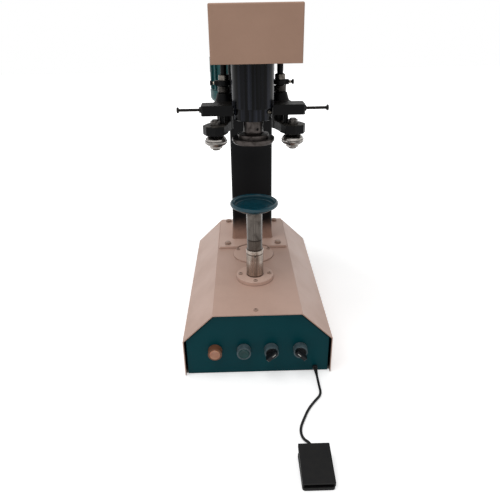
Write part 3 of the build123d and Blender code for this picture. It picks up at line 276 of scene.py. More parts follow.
cover_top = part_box("body_cover")[1].z
lid_low, lid_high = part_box("access_cover")
lid_middle = Vector((0, (lid_low.y + lid_high.y) / 2, lid_high.z))
flange_middle = Vector((0, 0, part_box("lift_flange")[1].z))
screw_places = [Matrix.Translation((-0.003, -0.132, cover_top))]
screw_places += on_circle(lid_middle, 0.043, 30, 150, 270)
screw_places += on_circle(flange_middle, 0.032, 0, 90, 180, 270)
hood_low, hood_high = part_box("hood")
for wall, lean in ((hood_low.x, -90), (hood_high.x, 90)):
    for y in (-0.04, 0.17, 0.375):
        spot = Matrix.Translation((wall, y, hood_low.z + 0.004))
        screw_places.append(spot @ Matrix.Rotation(math.radians(lean), 4, "Y"))
screw_head = pan_head(0.0046, 0.0026, 0.0014)
heads = gathered([(screw_head, place) for place in screw_places])
screw_paint = sprayed_enamel("screws_sprayed_over", "#A88D7F", "#8F7567", "#5F5248", 0.4, 1.0, 0.2)
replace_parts(piece("cross_head_screws", heads, screw_paint, "machine_frame"), "cover_screws")

# Column
# A square steel tube stands on the foot plate and is welded to it all round. It is enamelled black, and
# a painted reflection of the beige base fades out a hand's width up it.


def black_enamel_painted_reflection_at_foot(name, coat, reflected_beige, low, high):
    """Black enamel with another colour painted over its foot as a reflection: dense and dull at the low edge,
    gone at the high one.
    """
    material, tree, shader, place = blank(name)
    soft = worn_edge(tree, 0.0012)[0]
    height = add(tree, "ShaderNodeSeparateXYZ", {0: place})["Z"]
    drift = add(tree, "ShaderNodeTexNoise", {"Vector": place, "Scale": 1000 / 30, "Detail": 3.0})[0]
    drift = add(tree, "ShaderNodeMapRange", {"Value": drift, "To Min": -0.012, "To Max": 0.012})[0]
    height = add(tree, "ShaderNodeMath", {0: height, 1: drift}, operation="ADD")[0]
    fade = add(tree, "ShaderNodeMapRange", {"Value": height, "From Min": low, "From Max": high,
                                            "To Min": 1.0, "To Max": 0.0}, interpolation_type="SMOOTHSTEP")[0]
    speckle = add(tree, "ShaderNodeTexNoise", {"Vector": place, "Scale": 1000 / 0.9, "Detail": 1.0})[0]
    speckle = add(tree, "ShaderNodeMapRange", {"Value": speckle, "To Min": 0.6, "To Max": 1.4})[0]
    fade = add(tree, "ShaderNodeMath", {0: fade, 1: speckle}, operation="MULTIPLY")[0]
    colour = add(tree, "ShaderNodeMix", {0: fade, 6: srgb(coat), 7: srgb(reflected_beige)}, data_type="RGBA")[2]
    rough = add(tree, "ShaderNodeMapRange", {"Value": fade, "To Min": 0.35, "To Max": 0.8})[0]
    skin = add(tree, "ShaderNodeTexNoise", {"Vector": place, "Scale": 1000 / 1.4, "Detail": 2.0})[0]
    bump = add(tree, "ShaderNodeBump", {"Strength": 0.12, "Distance": 0.0004, "Height": skin,
                                        "Normal": soft})[0]
    feed(tree, shader, {"Base Color": colour, "Roughness": rough, "Normal": bump, "Specular IOR Level": 0.1})
    return material


def tube(points, radii, closed=False, around=10):
    """A round tube along points in metres, with one radius for each point."""
    mesh = bmesh.new()
    count = len(points)
    turn = [2 * math.pi * j / around for j in range(around)]
    side = None
    rings = []
    for i, (point, radius) in enumerate(zip(points, radii)):
        ahead = points[(i + 1) % count] if closed or i < count - 1 else point
        behind = points[i - 1] if closed or i > 0 else point
        along = (ahead - behind).normalized()
        side = side or along.orthogonal()
        side = (side - along * side.dot(along)).normalized()
        lift = along.cross(side)
        spots = [point + radius * (math.cos(a) * side + math.sin(a) * lift) for a in turn]
        rings.append([mesh.verts.new(spot) for spot in spots])
    if closed:
        return skinned(mesh, rings + rings[:1])
    return skinned(mesh, rings, rings[0], rings[-1])


def weld(name, corners, material, closed=True):
    """A bead laid along straight seams: the welder's pauses show as ripples."""
    bead, ripple, steps_in_ripple = 0.0026, 0.0022, 4
    points = []
    seams = list(zip(corners, corners[1:] + corners[:1]))
    for start, stop in seams if closed else seams[:-1]:
        steps = max(2, round((stop - start).length / (ripple / steps_in_ripple)))
        points += [start.lerp(stop, i / steps) for i in range(steps)]
    points += [] if closed else [corners[-1]]
    swell = [abs(math.cos(math.pi * i / steps_in_ripple)) for i in range(len(points))]
    line = tube(points, [bead * (0.86 + 0.14 * s) for s in swell], closed)
    return piece(name, line, material, "machine_frame", 70)


# The beige at the column's foot is painted reflection of the base.
column_enamel = black_enamel_painted_reflection_at_foot("black_enamel_with_painted_reflection", "#08080A", "#A38374", 0.156, 0.21)
dress(column_enamel, "column")
foot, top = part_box("column")
corner = 0.0035
outline = [(-top.x, foot.y + corner), (corner - top.x, foot.y),
           (top.x - corner, foot.y), (top.x, foot.y + corner),
           (top.x, top.y - corner), (top.x - corner, top.y),
           (corner - top.x, top.y), (-top.x, top.y - corner)]
weld("column_foot_weld", [Vector((x, y, foot.z)) for x, y in outline], column_enamel)

# Column bolts
# Four M8 hexagon bolts with washers hold the foot plate. They were sprayed over with the cover, and
# the spanner has bared the steel at their corners.


def lathe(profile, steps=24):
    """A mesh turned round Z from (radius, height) points in metres."""
    mesh = bmesh.new()
    turn = [2 * math.pi * i / steps for i in range(steps)]
    rings = []
    for radius, height in profile:
        if radius < 1e-6:
            rings.append([mesh.verts.new((0, 0, height))])
        else:
            rings.append([mesh.verts.new((radius * math.cos(a), radius * math.sin(a), height)) for a in turn])
    for low, high in zip(rings, rings[1:]):
        for i in range(steps):
            k = i + 1
            corners = (low[i % len(low)], low[k % len(low)], high[k % len(high)], high[i % len(high)])
            corners = list(dict.fromkeys(corners))
            if len(corners) > 2:
                mesh.faces.new(corners)
    for ring in (rings[0], rings[-1]):
        if len(ring) > 1:
            mesh.faces.new(ring)
    bmesh.ops.recalc_face_normals(mesh, faces=mesh.faces)
    return mesh


def hexagon(across, height, bore=0.0, base=0.0):
    """A hexagon with both ends chamfered at 30 degrees, as a bolt head or, with a bore, as a nut."""
    mesh = bmesh.new()
    steps = 60
    flat, slope = across / 2, math.tan(math.radians(30))
    hole, chamfered = bore or 0.001, flat * 0.97
    rings = [[] for _ in range(6)]
    for i in range(steps):
        a = 2 * math.pi * i / steps
        out = flat / math.cos((a + math.pi / 6) % (math.pi / 3) - math.pi / 6)
        drop = (out - chamfered) * slope
        spots = ((hole, 0), (chamfered, 0), (out, drop), (out, height - drop), (chamfered, height),
                 (hole, height))
        for ring, (r, z) in zip(rings, spots):
            ring.append(mesh.verts.new((r * math.cos(a), r * math.sin(a), base + z)))
    if bore:
        return skinned(mesh, rings + rings[:1])
    return skinned(mesh, rings, rings[0], rings[-1])


sprayed_bolt = sprayed_enamel("bolts_sprayed_over", "#A98F81", "#93796B", "#5F5650", 0.42, 1.0, 0.2)
plate_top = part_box("column_base_plate")[1].z
washer_t = 0.0012
washer = lathe([(0.0045, 0.0), (0.0078, 0.0), (0.0080, 0.0003), (0.0080, washer_t - 0.0002),
                (0.0077, washer_t), (0.0045, washer_t)], 40)
bolt_head = hexagon(0.013, 0.0042, base=washer_t)
placed = []
for x, y, turn in ((-0.063, 0.163, 0.3), (0.063, 0.163, 1.2), (-0.063, 0.308, 0.7), (0.063, 0.308, 0.1)):
    place = Matrix.Translation((x, y, plate_top)) @ Matrix.Rotation(turn, 4, "Z")
    placed += [(washer, place), (bolt_head, place)]
bolt_heads = piece("column_bolt_heads", gathered(placed), sprayed_bolt, "machine_frame")
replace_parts(bolt_heads, "column_bolts")

# Lift: sleeve, shaft and turntable
# A ground steel shaft slides in a turned sleeve and carries the turntable on ball bearings. A cylinder
# of cast aluminium inside the base lifts it.


def turned_steel(name, bright, oily, rough_low, rough_high, axis=(0.0, 0.0), ring_mm=0.5, film_mm=8.0,
                 film=(0.4, 0.65), streaks=0.0, grooved=0.35):
    """Steel from the lathe: rings run round its axis, drawn coarser than the tool's feed so that they
    show, and films of oil darken it in patches."""
    material, tree, shader, place = blank(name)
    soft = worn_edge(tree, 0.0006)[0]
    folded = add(tree, "ShaderNodeVectorMath", {0: place}, operation="ABSOLUTE")[0]
    aside = add(tree, "ShaderNodeVectorMath", {0: folded, 1: (*axis, 0.0)}, operation="SUBTRACT")[0]
    flat = add(tree, "ShaderNodeVectorMath", {0: aside, 1: (1.0, 1.0, 0.0)}, operation="MULTIPLY")[0]
    away = add(tree, "ShaderNodeVectorMath", {0: flat}, operation="LENGTH")["Value"]
    height = add(tree, "ShaderNodeSeparateXYZ", {0: place})["Z"]
    line = add(tree, "ShaderNodeCombineXYZ", {"X": away, "Z": height})[0]
    rings = add(tree, "ShaderNodeTexNoise", {"Vector": line, "Scale": 1000 / ring_mm, "Detail": 2.0})[0]
    patch = add(tree, "ShaderNodeTexNoise", {"Vector": place, "Scale": 1000 / film_mm, "Detail": 6.0,
                                             "Distortion": 0.6})[0]
    wet = add(tree, "ShaderNodeMapRange", {"Value": patch, "From Min": film[0], "From Max": film[1]})[0]
    tone = add(tree, "ShaderNodeMapRange", {"Value": rings, "From Min": 0.35, "From Max": 0.65,
                                            "To Min": 0.0, "To Max": grooved})[0]
    tone = add(tree, "ShaderNodeMath", {0: tone, 1: wet}, operation="MAXIMUM")[0]
    # Streaks are 2.5 mm wide and 80 mm long. Real ones are finer and would not show.
    drawn = add(tree, "ShaderNodeVectorMath", {0: place, 1: (400.0, 400.0, 12.0)}, operation="MULTIPLY")[0]
    drawn = add(tree, "ShaderNodeTexNoise", {"Vector": drawn, "Scale": 1.0, "Detail": 3.0})[0]
    drawn = add(tree, "ShaderNodeMapRange", {"Value": drawn, "From Min": 0.45, "From Max": 0.6,
                                             "To Max": streaks})[0]
    tone = add(tree, "ShaderNodeMath", {0: tone, 1: drawn}, operation="MAXIMUM")[0]
    colour = add(tree, "ShaderNodeMix", {0: tone, 6: srgb(bright), 7: srgb(oily)}, data_type="RGBA")[2]
    rough = add(tree, "ShaderNodeMapRange", {"Value": tone, "To Min": rough_low, "To Max": rough_high})[0]
    bump = add(tree, "ShaderNodeBump", {"Strength": 0.25, "Distance": 0.0002, "Height": rings,
                                        "Normal": soft})[0]
    feed(tree, shader, {"Base Color": colour, "Roughness": rough, "Normal": bump, "Metallic": 1.0})
    return material


def greased(material, *bands):
    """Lays dark bands round a shaft, most of them old grease: low and high edge, blur, strength and colour of
    each.
    """
    tree = material.node_tree
    place = add(tree, "ShaderNodeTexCoord", {})["Object"]
    height = add(tree, "ShaderNodeSeparateXYZ", {0: place})["Z"]
    for low, high, blur, strength, text in bands:
        rise = add(tree, "ShaderNodeMapRange", {"Value": height, "From Min": low - blur,
                                                "From Max": low + blur})[0]
        fall = add(tree, "ShaderNodeMapRange", {"Value": height, "From Min": high - blur,
                                                "From Max": high + blur, "To Min": strength,
                                                "To Max": 0.0})[0]
        band = add(tree, "ShaderNodeMath", {0: rise, 1: fall}, operation="MULTIPLY")[0]
        repaint(material, band, text)


def blotchy_metal(name, bright, dull, rough_low, rough_high, patch_mm, scratch_mm=0.5, depth=0.1):
    """Metal that has stood for years: dull patches among bright ones, fine scratches, bright edges."""
    material, tree, shader, place = blank(name)
    soft, edge = worn_edge(tree, 0.0006)
    patch = add(tree, "ShaderNodeTexNoise", {"Vector": place, "Scale": 1000 / patch_mm, "Detail": 5.0})[0]
    mask = add(tree, "ShaderNodeMapRange", {"Value": patch, "From Min": 0.35, "From Max": 0.68})[0]
    colour = add(tree, "ShaderNodeMix", {0: mask, 6: srgb(bright), 7: srgb(dull)}, data_type="RGBA")[2]
    colour = add(tree, "ShaderNodeMix", {0: edge, 6: colour, 7: srgb(bright)}, data_type="RGBA")[2]
    rough = add(tree, "ShaderNodeMapRange", {"Value": mask, "To Min": rough_low, "To Max": rough_high})[0]
    fine = add(tree, "ShaderNodeTexNoise", {"Vector": place, "Scale": 1000 / scratch_mm, "Detail": 3.0})[0]
    bump = add(tree, "ShaderNodeBump", {"Strength": depth, "Distance": 0.0003, "Height": fine,
                                        "Normal": soft})[0]
    feed(tree, shader, {"Base Color": colour, "Roughness": rough, "Normal": bump, "Metallic": 1.0})
    return material


# Ground bar shines in upright streaks. The part that dips into the sleeve wears a brown film with
# two dark tide lines.
ground_shaft = turned_steel("ground_shaft_steel", "#5E5853", "#3F3A36", 0.16, 0.28, film_mm=20.0, streaks=0.6)
greased(ground_shaft, (0.2, 0.2405, 0.003, 0.5, "#3C312A"), (0.2385, 0.2412, 0.0005, 0.75, "#17120F"),
        (0.2, 0.2185, 0.0007, 0.6, "#24160F"))
dress(ground_shaft, "lift_shaft")

# The sleeve is paler, as it was left from the tool, with grease below its mouth and a dark brown band at its
# foot.
scratched_sleeve = turned_steel("turned_sleeve_steel", "#B6AAA0", "#6F635A", 0.22, 0.38, ring_mm=0.8,
                                film_mm=12.0, film=(0.5, 0.8), streaks=0.8)
greased(scratched_sleeve, (0.2050, 0.2078, 0.0006, 0.7, "#3A2A21"), (0.1930, 0.2050, 0.0030, 0.3, "#4A382C"),
        (0.14, 0.1565, 0.001, 0.8, "#38231A"))
dress(scratched_sleeve, "guide_sleeve")

# The turntable's enamel is the glossiest on the machine, polished by what stands on it.
table_enamel = sprayed_enamel("turntable_enamel", "#083A47", "#0F434E", "#4A666C", 0.12, 2.0, 0.1,
                              specular=0.35)
dress(table_enamel, "turntable")

# Bearing steel is ground bright and grey; cast aluminium is paler, dull and slightly grainy.
bearing_steel = blotchy_metal("bearing_steel", "#A8A8A8", "#77746F", 0.2, 0.4, 6.0)
dress(bearing_steel, "turntable_bearings", "spindle_bearings")
cast_aluminium = blotchy_metal("cast_aluminium", "#A3A4A6", "#85868A", 0.4, 0.6, 8.0, 1.2, 0.2)
dress(cast_aluminium, "lift_cylinder", "clutch_drum")

# Panel controls
# Moulded plastic push buttons and selector knobs sit in bezels that clamp through the panel. The lens
# of the supply button is amber and the start button dark green.


def moulded_plastic(name, colour_text, worn_text, roughness, grain_mm=0.7, depth=0.12, specular=0.5):
    """Plastic from a spark-eroded mould: a fine even grain, handled a little paler on its edges."""
    material, tree, shader, place = blank(name)
    soft, edge = worn_edge(tree, 0.0007)
    cloud = add(tree, "ShaderNodeTexNoise", {"Vector": place, "Scale": 1000 / 12, "Detail": 4.0})[0]
    mask = add(tree, "ShaderNodeMapRange", {"Value": cloud, "From Min": 0.4, "From Max": 0.7,
                                            "To Max": 0.5})[0]
    mask = add(tree, "ShaderNodeMath", {0: mask, 1: edge}, operation="MAXIMUM")[0]
    colour = add(tree, "ShaderNodeMix", {0: mask, 6: srgb(colour_text), 7: srgb(worn_text)},
                 data_type="RGBA")[2]
    rough = add(tree, "ShaderNodeMapRange", {"Value": cloud, "To Min": roughness - 0.06,
                                             "To Max": roughness + 0.1})[0]
    fine = add(tree, "ShaderNodeTexNoise", {"Vector": place, "Scale": 1000 / grain_mm, "Detail": 1.0})[0]
    bump = add(tree, "ShaderNodeBump", {"Strength": depth, "Distance": 0.0003, "Height": fine,
                                        "Normal": soft})[0]
    feed(tree, shader, {"Base Color": colour, "Roughness": rough, "Normal": bump,
                        "Specular IOR Level": specular})
    return material


# Grey polyamide is satin and slightly blue. The bezel of the amber lens, the only one left of X = -60 mm,
# is orange-brown, made darker as painted shade on its shaded side.
# Its paler edge colour is partly handling wear and partly painted highlight for the rims lit from above.
bezel_plastic = moulded_plastic("bezel_polyamide", "#3F4E53", "#64757A", 0.42, specular=0.3)
tree = bezel_plastic.node_tree
across = add(tree, "ShaderNodeSeparateXYZ", {0: add(tree, "ShaderNodeTexCoord", {})["Object"]})["X"]
amber_and_shaded_bezel = add(tree, "ShaderNodeMath", {0: across, 1: -0.06}, operation="LESS_THAN")[0]
repaint(bezel_plastic, amber_and_shaded_bezel, "#6B4632")
dress(bezel_plastic, "control_bodies")

# Amber polycarbonate glows a little from within; green ABS and black polyamide are plain and satin.
amber_lens = moulded_plastic("amber_polycarbonate", "#A66C50", "#BE8C70", 0.22, 1.0, 0.05)
amber_lens.node_tree.nodes["Principled BSDF"].inputs["Subsurface Weight"].default_value = 0.15
green_cap = moulded_plastic("green_abs", "#1A3B3B", "#274B4A", 0.3, specular=0.2)
black_knob = moulded_plastic("black_polyamide", "#0B0E11", "#1E2124", 0.34, specular=0.22)
dress(black_knob, "selector_left", "selector_right", "cable_glands")
control_z = 0.0585
to_operator = Matrix.Rotation(math.radians(90), 4, "X")


def push_cap(name, x, material, body, node):
    """A cap turned with a shallow dish in its face and a rounded rim."""
    low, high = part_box(node)
    depth = high.y - low.y
    profile = [(0.0095, 0.0), (0.011, 0.0), (0.011, depth - 0.0018), (0.0106, depth - 0.0007),
               (0.0098, depth), (0.0090, depth), (0.0083, depth - 0.0004), (0.006, depth - 0.0008),
               (0.0, depth - 0.001)]
    place = Matrix.Translation((x, high.y, control_z)) @ to_operator
    cap = gathered([(lathe(profile, 48), place)])
    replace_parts(piece(name, cap, material, body), node)


push_cap("supply_lens", -0.0865, amber_lens, "power_push", "power_button")
push_cap("start_cap", -0.0285, green_cap, "start_push", "start_button")

# A white line is pad printed on each knob's handle, matt and a little yellowed.
white_print = moulded_plastic("white_print", "#D8D8D2", "#B8B8B0", 0.5, 0.7, 0.05)
for side, x, turn, body in (("left", 0.027, 45, "selector_one"), ("right", 0.0855, -45, "selector_two")):
    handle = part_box("selector_" + side)[0].y
    line = bmesh.new()
    bmesh.ops.create_cube(line, size=1.0)
    bmesh.ops.transform(line, matrix=Matrix.Diagonal((0.0016, 0.0004, 0.0085, 1)), verts=line.verts)
    bmesh.ops.bevel(line, geom=line.edges[:], offset=0.00015, segments=2, affect="EDGES")
    place = Matrix.Translation((x, handle + 0.0001, control_z)) @ Matrix.Rotation(math.radians(turn), 4, "Y")
    bmesh.ops.transform(line, matrix=place @ Matrix.Translation((0, 0, 0.0058)), verts=line.verts)
    piece("selector_%s_line" % side, line, white_print, body)

# Head: barrel, nose cap, bridge and deck
# Machined and welded steel, enamelled black. The barrel hangs from the deck and the bridge, which is
# welded to the column.


def gloss_enamel(name, coat, reflection_colour, dusty, roughness, specular):
    """Gloss enamel with bluish upright bands of painted reflection, and dust lying on what faces up."""
    material, tree, shader, place = blank(name)
    soft, edge = worn_edge(tree, 0.0009)
    up = add(tree, "ShaderNodeSeparateXYZ", {0: soft})["Z"]
    cloud = add(tree, "ShaderNodeTexNoise", {"Vector": place, "Scale": 1000 / 30, "Detail": 6.0,
                                             "Roughness": 0.65})[0]
    lying = add(tree, "ShaderNodeMapRange", {"Value": up, "From Min": 0.5, "From Max": 1.0, "To Max": 0.7})[0]
    lying = add(tree, "ShaderNodeMath", {0: lying, 1: cloud}, operation="MULTIPLY")[0]
    smear = add(tree, "ShaderNodeMapRange", {"Value": cloud, "From Min": 0.6, "From Max": 0.85,
                                             "To Max": 0.15})[0]
    mask = add(tree, "ShaderNodeMath", {0: lying, 1: smear}, operation="MAXIMUM")[0]
    mask = add(tree, "ShaderNodeMath", {0: mask, 1: edge}, operation="MAXIMUM")[0]
    # Painted reflection bands are 9 mm wide and longer than the barrel.
    reflection_bands = add(tree, "ShaderNodeVectorMath", {0: place, 1: (110.0, 110.0, 1.2)}, operation="MULTIPLY")[0]
    reflection_bands = add(tree, "ShaderNodeTexNoise", {"Vector": reflection_bands, "Scale": 1.0, "Detail": 3.0})[0]
    reflection_bands = add(tree, "ShaderNodeMapRange", {"Value": reflection_bands, "From Min": 0.46, "From Max": 0.68})[0]
    colour = add(tree, "ShaderNodeMix", {0: reflection_bands, 6: srgb(coat), 7: srgb(reflection_colour)}, data_type="RGBA")[2]
    colour = add(tree, "ShaderNodeMix", {0: mask, 6: colour, 7: srgb(dusty)}, data_type="RGBA")[2]
    rough = add(tree, "ShaderNodeMapRange", {"Value": mask, "To Min": roughness,
                                             "To Max": roughness + 0.35})[0]
    skin = add(tree, "ShaderNodeTexNoise", {"Vector": place, "Scale": 1000 / 1.8, "Detail": 2.0})[0]
    bump = add(tree, "ShaderNodeBump", {"Strength": 0.1, "Distance": 0.0004, "Height": skin,
                                        "Normal": soft})[0]
    feed(tree, shader, {"Base Color": colour, "Roughness": rough, "Normal": bump,
                        "Specular IOR Level": specular})
    return material


# The bluish upright bands in this black are painted reflection.
black_enamel = gloss_enamel("black_gloss_enamel", "#020203", "#30333D", "#2B2A27", 0.14, 0.08)
dress(black_enamel, "spindle_barrel", "nose_cap", "head_bridge", "deck_plate")
low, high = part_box("head_bridge")
weld_top = high.z - 0.002
outline = ((low.x, weld_top), (low.x, low.z), (high.x, low.z), (high.x, weld_top))
weld("bridge_to_column_weld", [Vector((x, high.y, z)) for x, z in outline], black_enamel, closed=False)

# Grease nipple
# A small plated nipple is screwed into the nose cap, front right, where the gun can reach it. Old
# grease has dulled the zinc to a dark grey.

greasy_zinc = blotchy_metal("zinc_under_old_grease", "#66625A", "#2E2A25", 0.4, 0.62, 3.0)
nozzle = lathe([(0.0028, 0.003), (0.0022, 0.0038), (0.0016, 0.005), (0.0021, 0.0058), (0.0023, 0.0066),
                (0.0018, 0.0074), (0.0006, 0.0078), (0.0, 0.0074)])
out = Vector((0.028, -0.0245, 0)).normalized()
place = Matrix.Translation(out * 0.0366 + Vector((0, 0, 0.5085)))
place = place @ out.to_track_quat("Z", "Y").to_matrix().to_4x4() @ Matrix.Scale(0.85, 4)
nipple = gathered([(hexagon(0.007, 0.003), place), (nozzle, place)])
piece("grease_nipple", nipple, greasy_zinc, "machine_frame")

# Spindle and chuck
# The chuck is turned from tool steel and clamped to the spindle with a socket set screw. It is wiped
# with oil and has gone brown-grey where fingers do not reach.

chuck_steel = turned_steel("oiled_chuck_steel", "#4A4543", "#2E2A28", 0.34, 0.44, ring_mm=0.6, film_mm=14.0)
dress(chuck_steel, "chuck")
bright_bar = turned_steel("bright_drawn_steel", "#9C9894", "#6D6964", 0.22, 0.4)
dress(bright_bar, "spindle", "motor_shaft", "countershaft")

# Black oxide leaves the set screw darker than the chuck round it, with a dull sheen.
black_oxide_screw = blotchy_metal("black_oxide_screw", "#2B2A2A", "#191818", 0.3, 0.5, 3.0)
place = Matrix.Rotation(math.radians(24), 4, "Z") @ Matrix.Translation((0, -0.0165, 0.4757)) @ to_operator
socket = lathe([(0.0, -0.003), (0.0024, -0.003), (0.0024, 0.0), (0.0021, 0.0003), (0.0013, 0.0003),
                (0.0012, -0.0016), (0.0, -0.0019)], 12)
piece("chuck_set_screw", gathered([(socket, place)]), black_oxide_screw, "spindle_set")

# Side brackets and seaming arms
# Sawn and milled steel, blackened in hot oil. The brackets bolt to the barrel, and the arms, their
# levers and the pivot shafts are clamped together.


def blackened_steel(name, black, rubbed, dusty, most_dust_and_top_light):
    """Oil-blackened steel: corners rubbed to grey metal, mill marks along the faces, dust and painted light
    on top.
    """
    material, tree, shader, place = blank(name)
    soft, edge = worn_edge(tree, 0.0010)
    up = add(tree, "ShaderNodeSeparateXYZ", {0: soft})["Z"]
    cloud = add(tree, "ShaderNodeTexNoise", {"Vector": place, "Scale": 1000 / 14, "Detail": 7.0,
                                             "Roughness": 0.7})[0]
    # What faces up turns dusty grey: settled dust, and painted light from above as well.
    lying = add(tree, "ShaderNodeMapRange", {"Value": up, "From Min": 0.5, "From Max": 1.0,
                                             "To Max": most_dust_and_top_light})[0]
    settled = add(tree, "ShaderNodeMapRange", {"Value": cloud, "From Min": 0.35, "From Max": 0.6})[0]
    lying = add(tree, "ShaderNodeMath", {0: lying, 1: settled}, operation="MULTIPLY")[0]
    colour = add(tree, "ShaderNodeMix", {0: lying, 6: srgb(black), 7: srgb(dusty)}, data_type="RGBA")[2]
    bitten = add(tree, "ShaderNodeMapRange", {"Value": cloud, "From Min": 0.4, "From Max": 0.6,
                                              "To Max": 0.8})[0]
    bare = add(tree, "ShaderNodeMath", {0: edge, 1: bitten}, operation="MULTIPLY")[0]
    colour = add(tree, "ShaderNodeMix", {0: bare, 6: colour, 7: srgb(rubbed)}, data_type="RGBA")[2]
    # Mill marks are 1.2 mm apart, coarser than a real cutter's, so that they show.
    across = 1000 / 1.2
    drag = add(tree, "ShaderNodeVectorMath", {0: place, 1: (across, 60.0, across)}, operation="MULTIPLY")[0]
    marks = add(tree, "ShaderNodeTexNoise", {"Vector": drag, "Scale": 1.0, "Detail": 2.0})[0]
    rough = add(tree, "ShaderNodeMapRange", {"Value": cloud, "To Min": 0.3, "To Max": 0.62})[0]
    bump = add(tree, "ShaderNodeBump", {"Strength": 0.22, "Distance": 0.0003, "Height": marks,
                                        "Normal": soft})[0]
    feed(tree, shader, {"Base Color": colour, "Roughness": rough, "Normal": bump, "Specular IOR Level": 0.1})
    return material


# The arms' upper faces are paler still, with dust and painted light from above.
oil_black = blackened_steel("oil_blackened_steel", "#040405", "#3C3936", "#1F1C19", 0.8)
top_lit_dusty_black = blackened_steel("oil_blackened_steel_under_dust_and_painted_top_light", "#040405", "#4A4743", "#5A5651", 0.95)
for side in ("left", "right"):
    dress(oil_black, "side_bracket_" + side, "pivot_shaft_" + side)
    dress(oil_black, "adjusting_lever_" + side, "cam_lever_" + side)
    dress(top_lit_dusty_black, "seaming_arm_" + side)

# Stop bolts
# Long M6 screws through the brackets set how far the arms open. Their thread shows all the way out to
# the small head, with a lock nut against the bracket.


def threaded(length, radius, pitch, depth):
    """A rod with a real helical thread, along Z from 0."""
    mesh = bmesh.new()
    around, per_turn = 20, 4
    rings = []
    for i in range(int(length / pitch * per_turn) + 1):
        along = i * pitch / per_turn
        ring = []
        for j in range(around):
            phase = (along / pitch - j / around) % 1.0
            r = radius - depth * abs(2 * phase - 1)
            a = 2 * math.pi * j / around
            ring.append(mesh.verts.new((r * math.cos(a), r * math.sin(a), min(along, length))))
        rings.append(ring)
    return skinned(mesh, rings, rings[0], rings[-1])


# Blackened screw steel has gone bare and brown-grey on the crests of its thread.
screw_black = blotchy_metal("blackened_screw_steel", "#2E2C2B", "#1B1A19", 0.32, 0.5, 3.0)
bolt_y, bolt_z = 0.012, 0.5085
nut_face, bolt_end, head_t = 0.098, 0.146, 0.004
placed = []
for side, tip in ((-1, 0.0657), (1, 0.0690)):
    point_out = Vector((side, 0, 0)).to_track_quat("Z", "Y").to_matrix().to_4x4()
    rod = threaded(bolt_end - head_t - tip, 0.003, 0.001, 0.00045)
    nut = hexagon(0.010, 0.005, 0.0028)
    head = hexagon(0.010, head_t)
    for mesh, x in ((rod, tip), (nut, nut_face), (head, bolt_end - head_t)):
        placed.append((mesh, Matrix.Translation((side * x, bolt_y, bolt_z)) @ point_out))
stop_screws = piece("stop_screws", gathered(placed), screw_black, "machine_frame", 50)
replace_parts(stop_screws, "stop_bolts")

# Rollers and their pins
# Hardened rollers with the seam groove turned in their rims run on shouldered pins with hexagon heads.
# The rings of the grooves stay dark with oil between bright crests; the pins are duller.

pin_steel = blotchy_metal("roller_pin_steel", "#5C5956", "#33302E", 0.3, 0.5, 4.0)
for side, axis in (("left", (0.07293, 0.00217)), ("right", (0.07703, 0.00392))):
    roller_steel = turned_steel("hardened_roller_steel_" + side, "#B0ABA6", "#2A2725", 0.16, 0.34, axis=axis,
                                ring_mm=2.2, grooved=0.9, film_mm=6.0, film=(0.5, 0.8))
    dress(roller_steel, "seaming_roller_" + side)
    dress(pin_steel, "roller_pin_" + side)

# Pivot shafts, collars and return springs
# A clamp collar sits on each pivot shaft above the adjusting lever, and a torsion spring is wound
# round the shaft between the bracket and the lever. A small ball nut holds the lever.

pivot_x, pivot_y = 0.055, 0.05

# The collars were turned and oiled, so they keep fine rings and a soft shine.
collar_steel = turned_steel("oiled_collar_steel", "#6E6963", "#4A4641", 0.25, 0.42, axis=(pivot_x, pivot_y))

# Spring wire is drawn and tempered: dark grey, with a dull oily gleam on each coil.
spring_steel = blotchy_metal("oiled_spring_wire", "#4A4744", "#2A2826", 0.3, 0.5, 5.0)

# The nuts' zinc plating is pale with a yellowish tinge, and dull in patches.
zinc_plate = blotchy_metal("zinc_plated_steel", "#B9B2A4", "#7F776A", 0.32, 0.55, 4.0)
wire, coil_r, spring_h = 0.0034, 0.0107, 0.0145
spring_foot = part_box("side_bracket_left")[1].z
turns, steps = 4, 24
rise = (spring_h - wire) / turns
placed = []
for side, sign in (("left", -1), ("right", 1)):
    dress(collar_steel, "pivot_collar_" + side)
    helix = []
    for i in range(turns * steps + 1):
        a = 2 * math.pi * i / steps
        helix.append(Vector((sign * (pivot_x + coil_r * math.cos(a)), pivot_y + coil_r * math.sin(a),
                             spring_foot + wire / 2 + rise * i / steps)))
    placed.append((tube(helix, [wire / 2] * len(helix)), Matrix.Identity(4)))
springs = piece("torsion_springs", gathered(placed), spring_steel, "machine_frame", 50)
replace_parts(springs, "return_springs")
for side, sign in (("left", -1), ("right", 1)):
    low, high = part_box("adjusting_lever_" + side)
    ball = lathe([(0.0, -0.0030), (0.0012, -0.0028), (0.0025, -0.0016), (0.0030, 0.0), (0.0025, 0.0016),
                  (0.0012, 0.0028), (0.0, 0.0030)], 20)
    ball = gathered([(ball, Matrix.Translation((sign * 0.0745, pivot_y, (low.z + high.z) / 2)))])
    piece("lever_nut_" + side, ball, zinc_plate, "arm_" + side)

# Gears and cam
# Milled teeth on steel blanks, under the hood, turned by the belt at one side and driving the cam at
# the other. They are always oily, so the steel is grey-brown with wet patches.

gear_steel = turned_steel("oily_gear_steel", "#7F7B76", "#4A4540", 0.25, 0.42, film_mm=10.0)
dress(gear_steel, "seaming_cam", "counter_wheel", "cam_follower_left", "cam_follower_right")

# Belt drive and motor
# A rubber V-belt runs between cast iron pulleys. The motor hangs from the deck, a ribbed casting with
# a terminal box on its back.

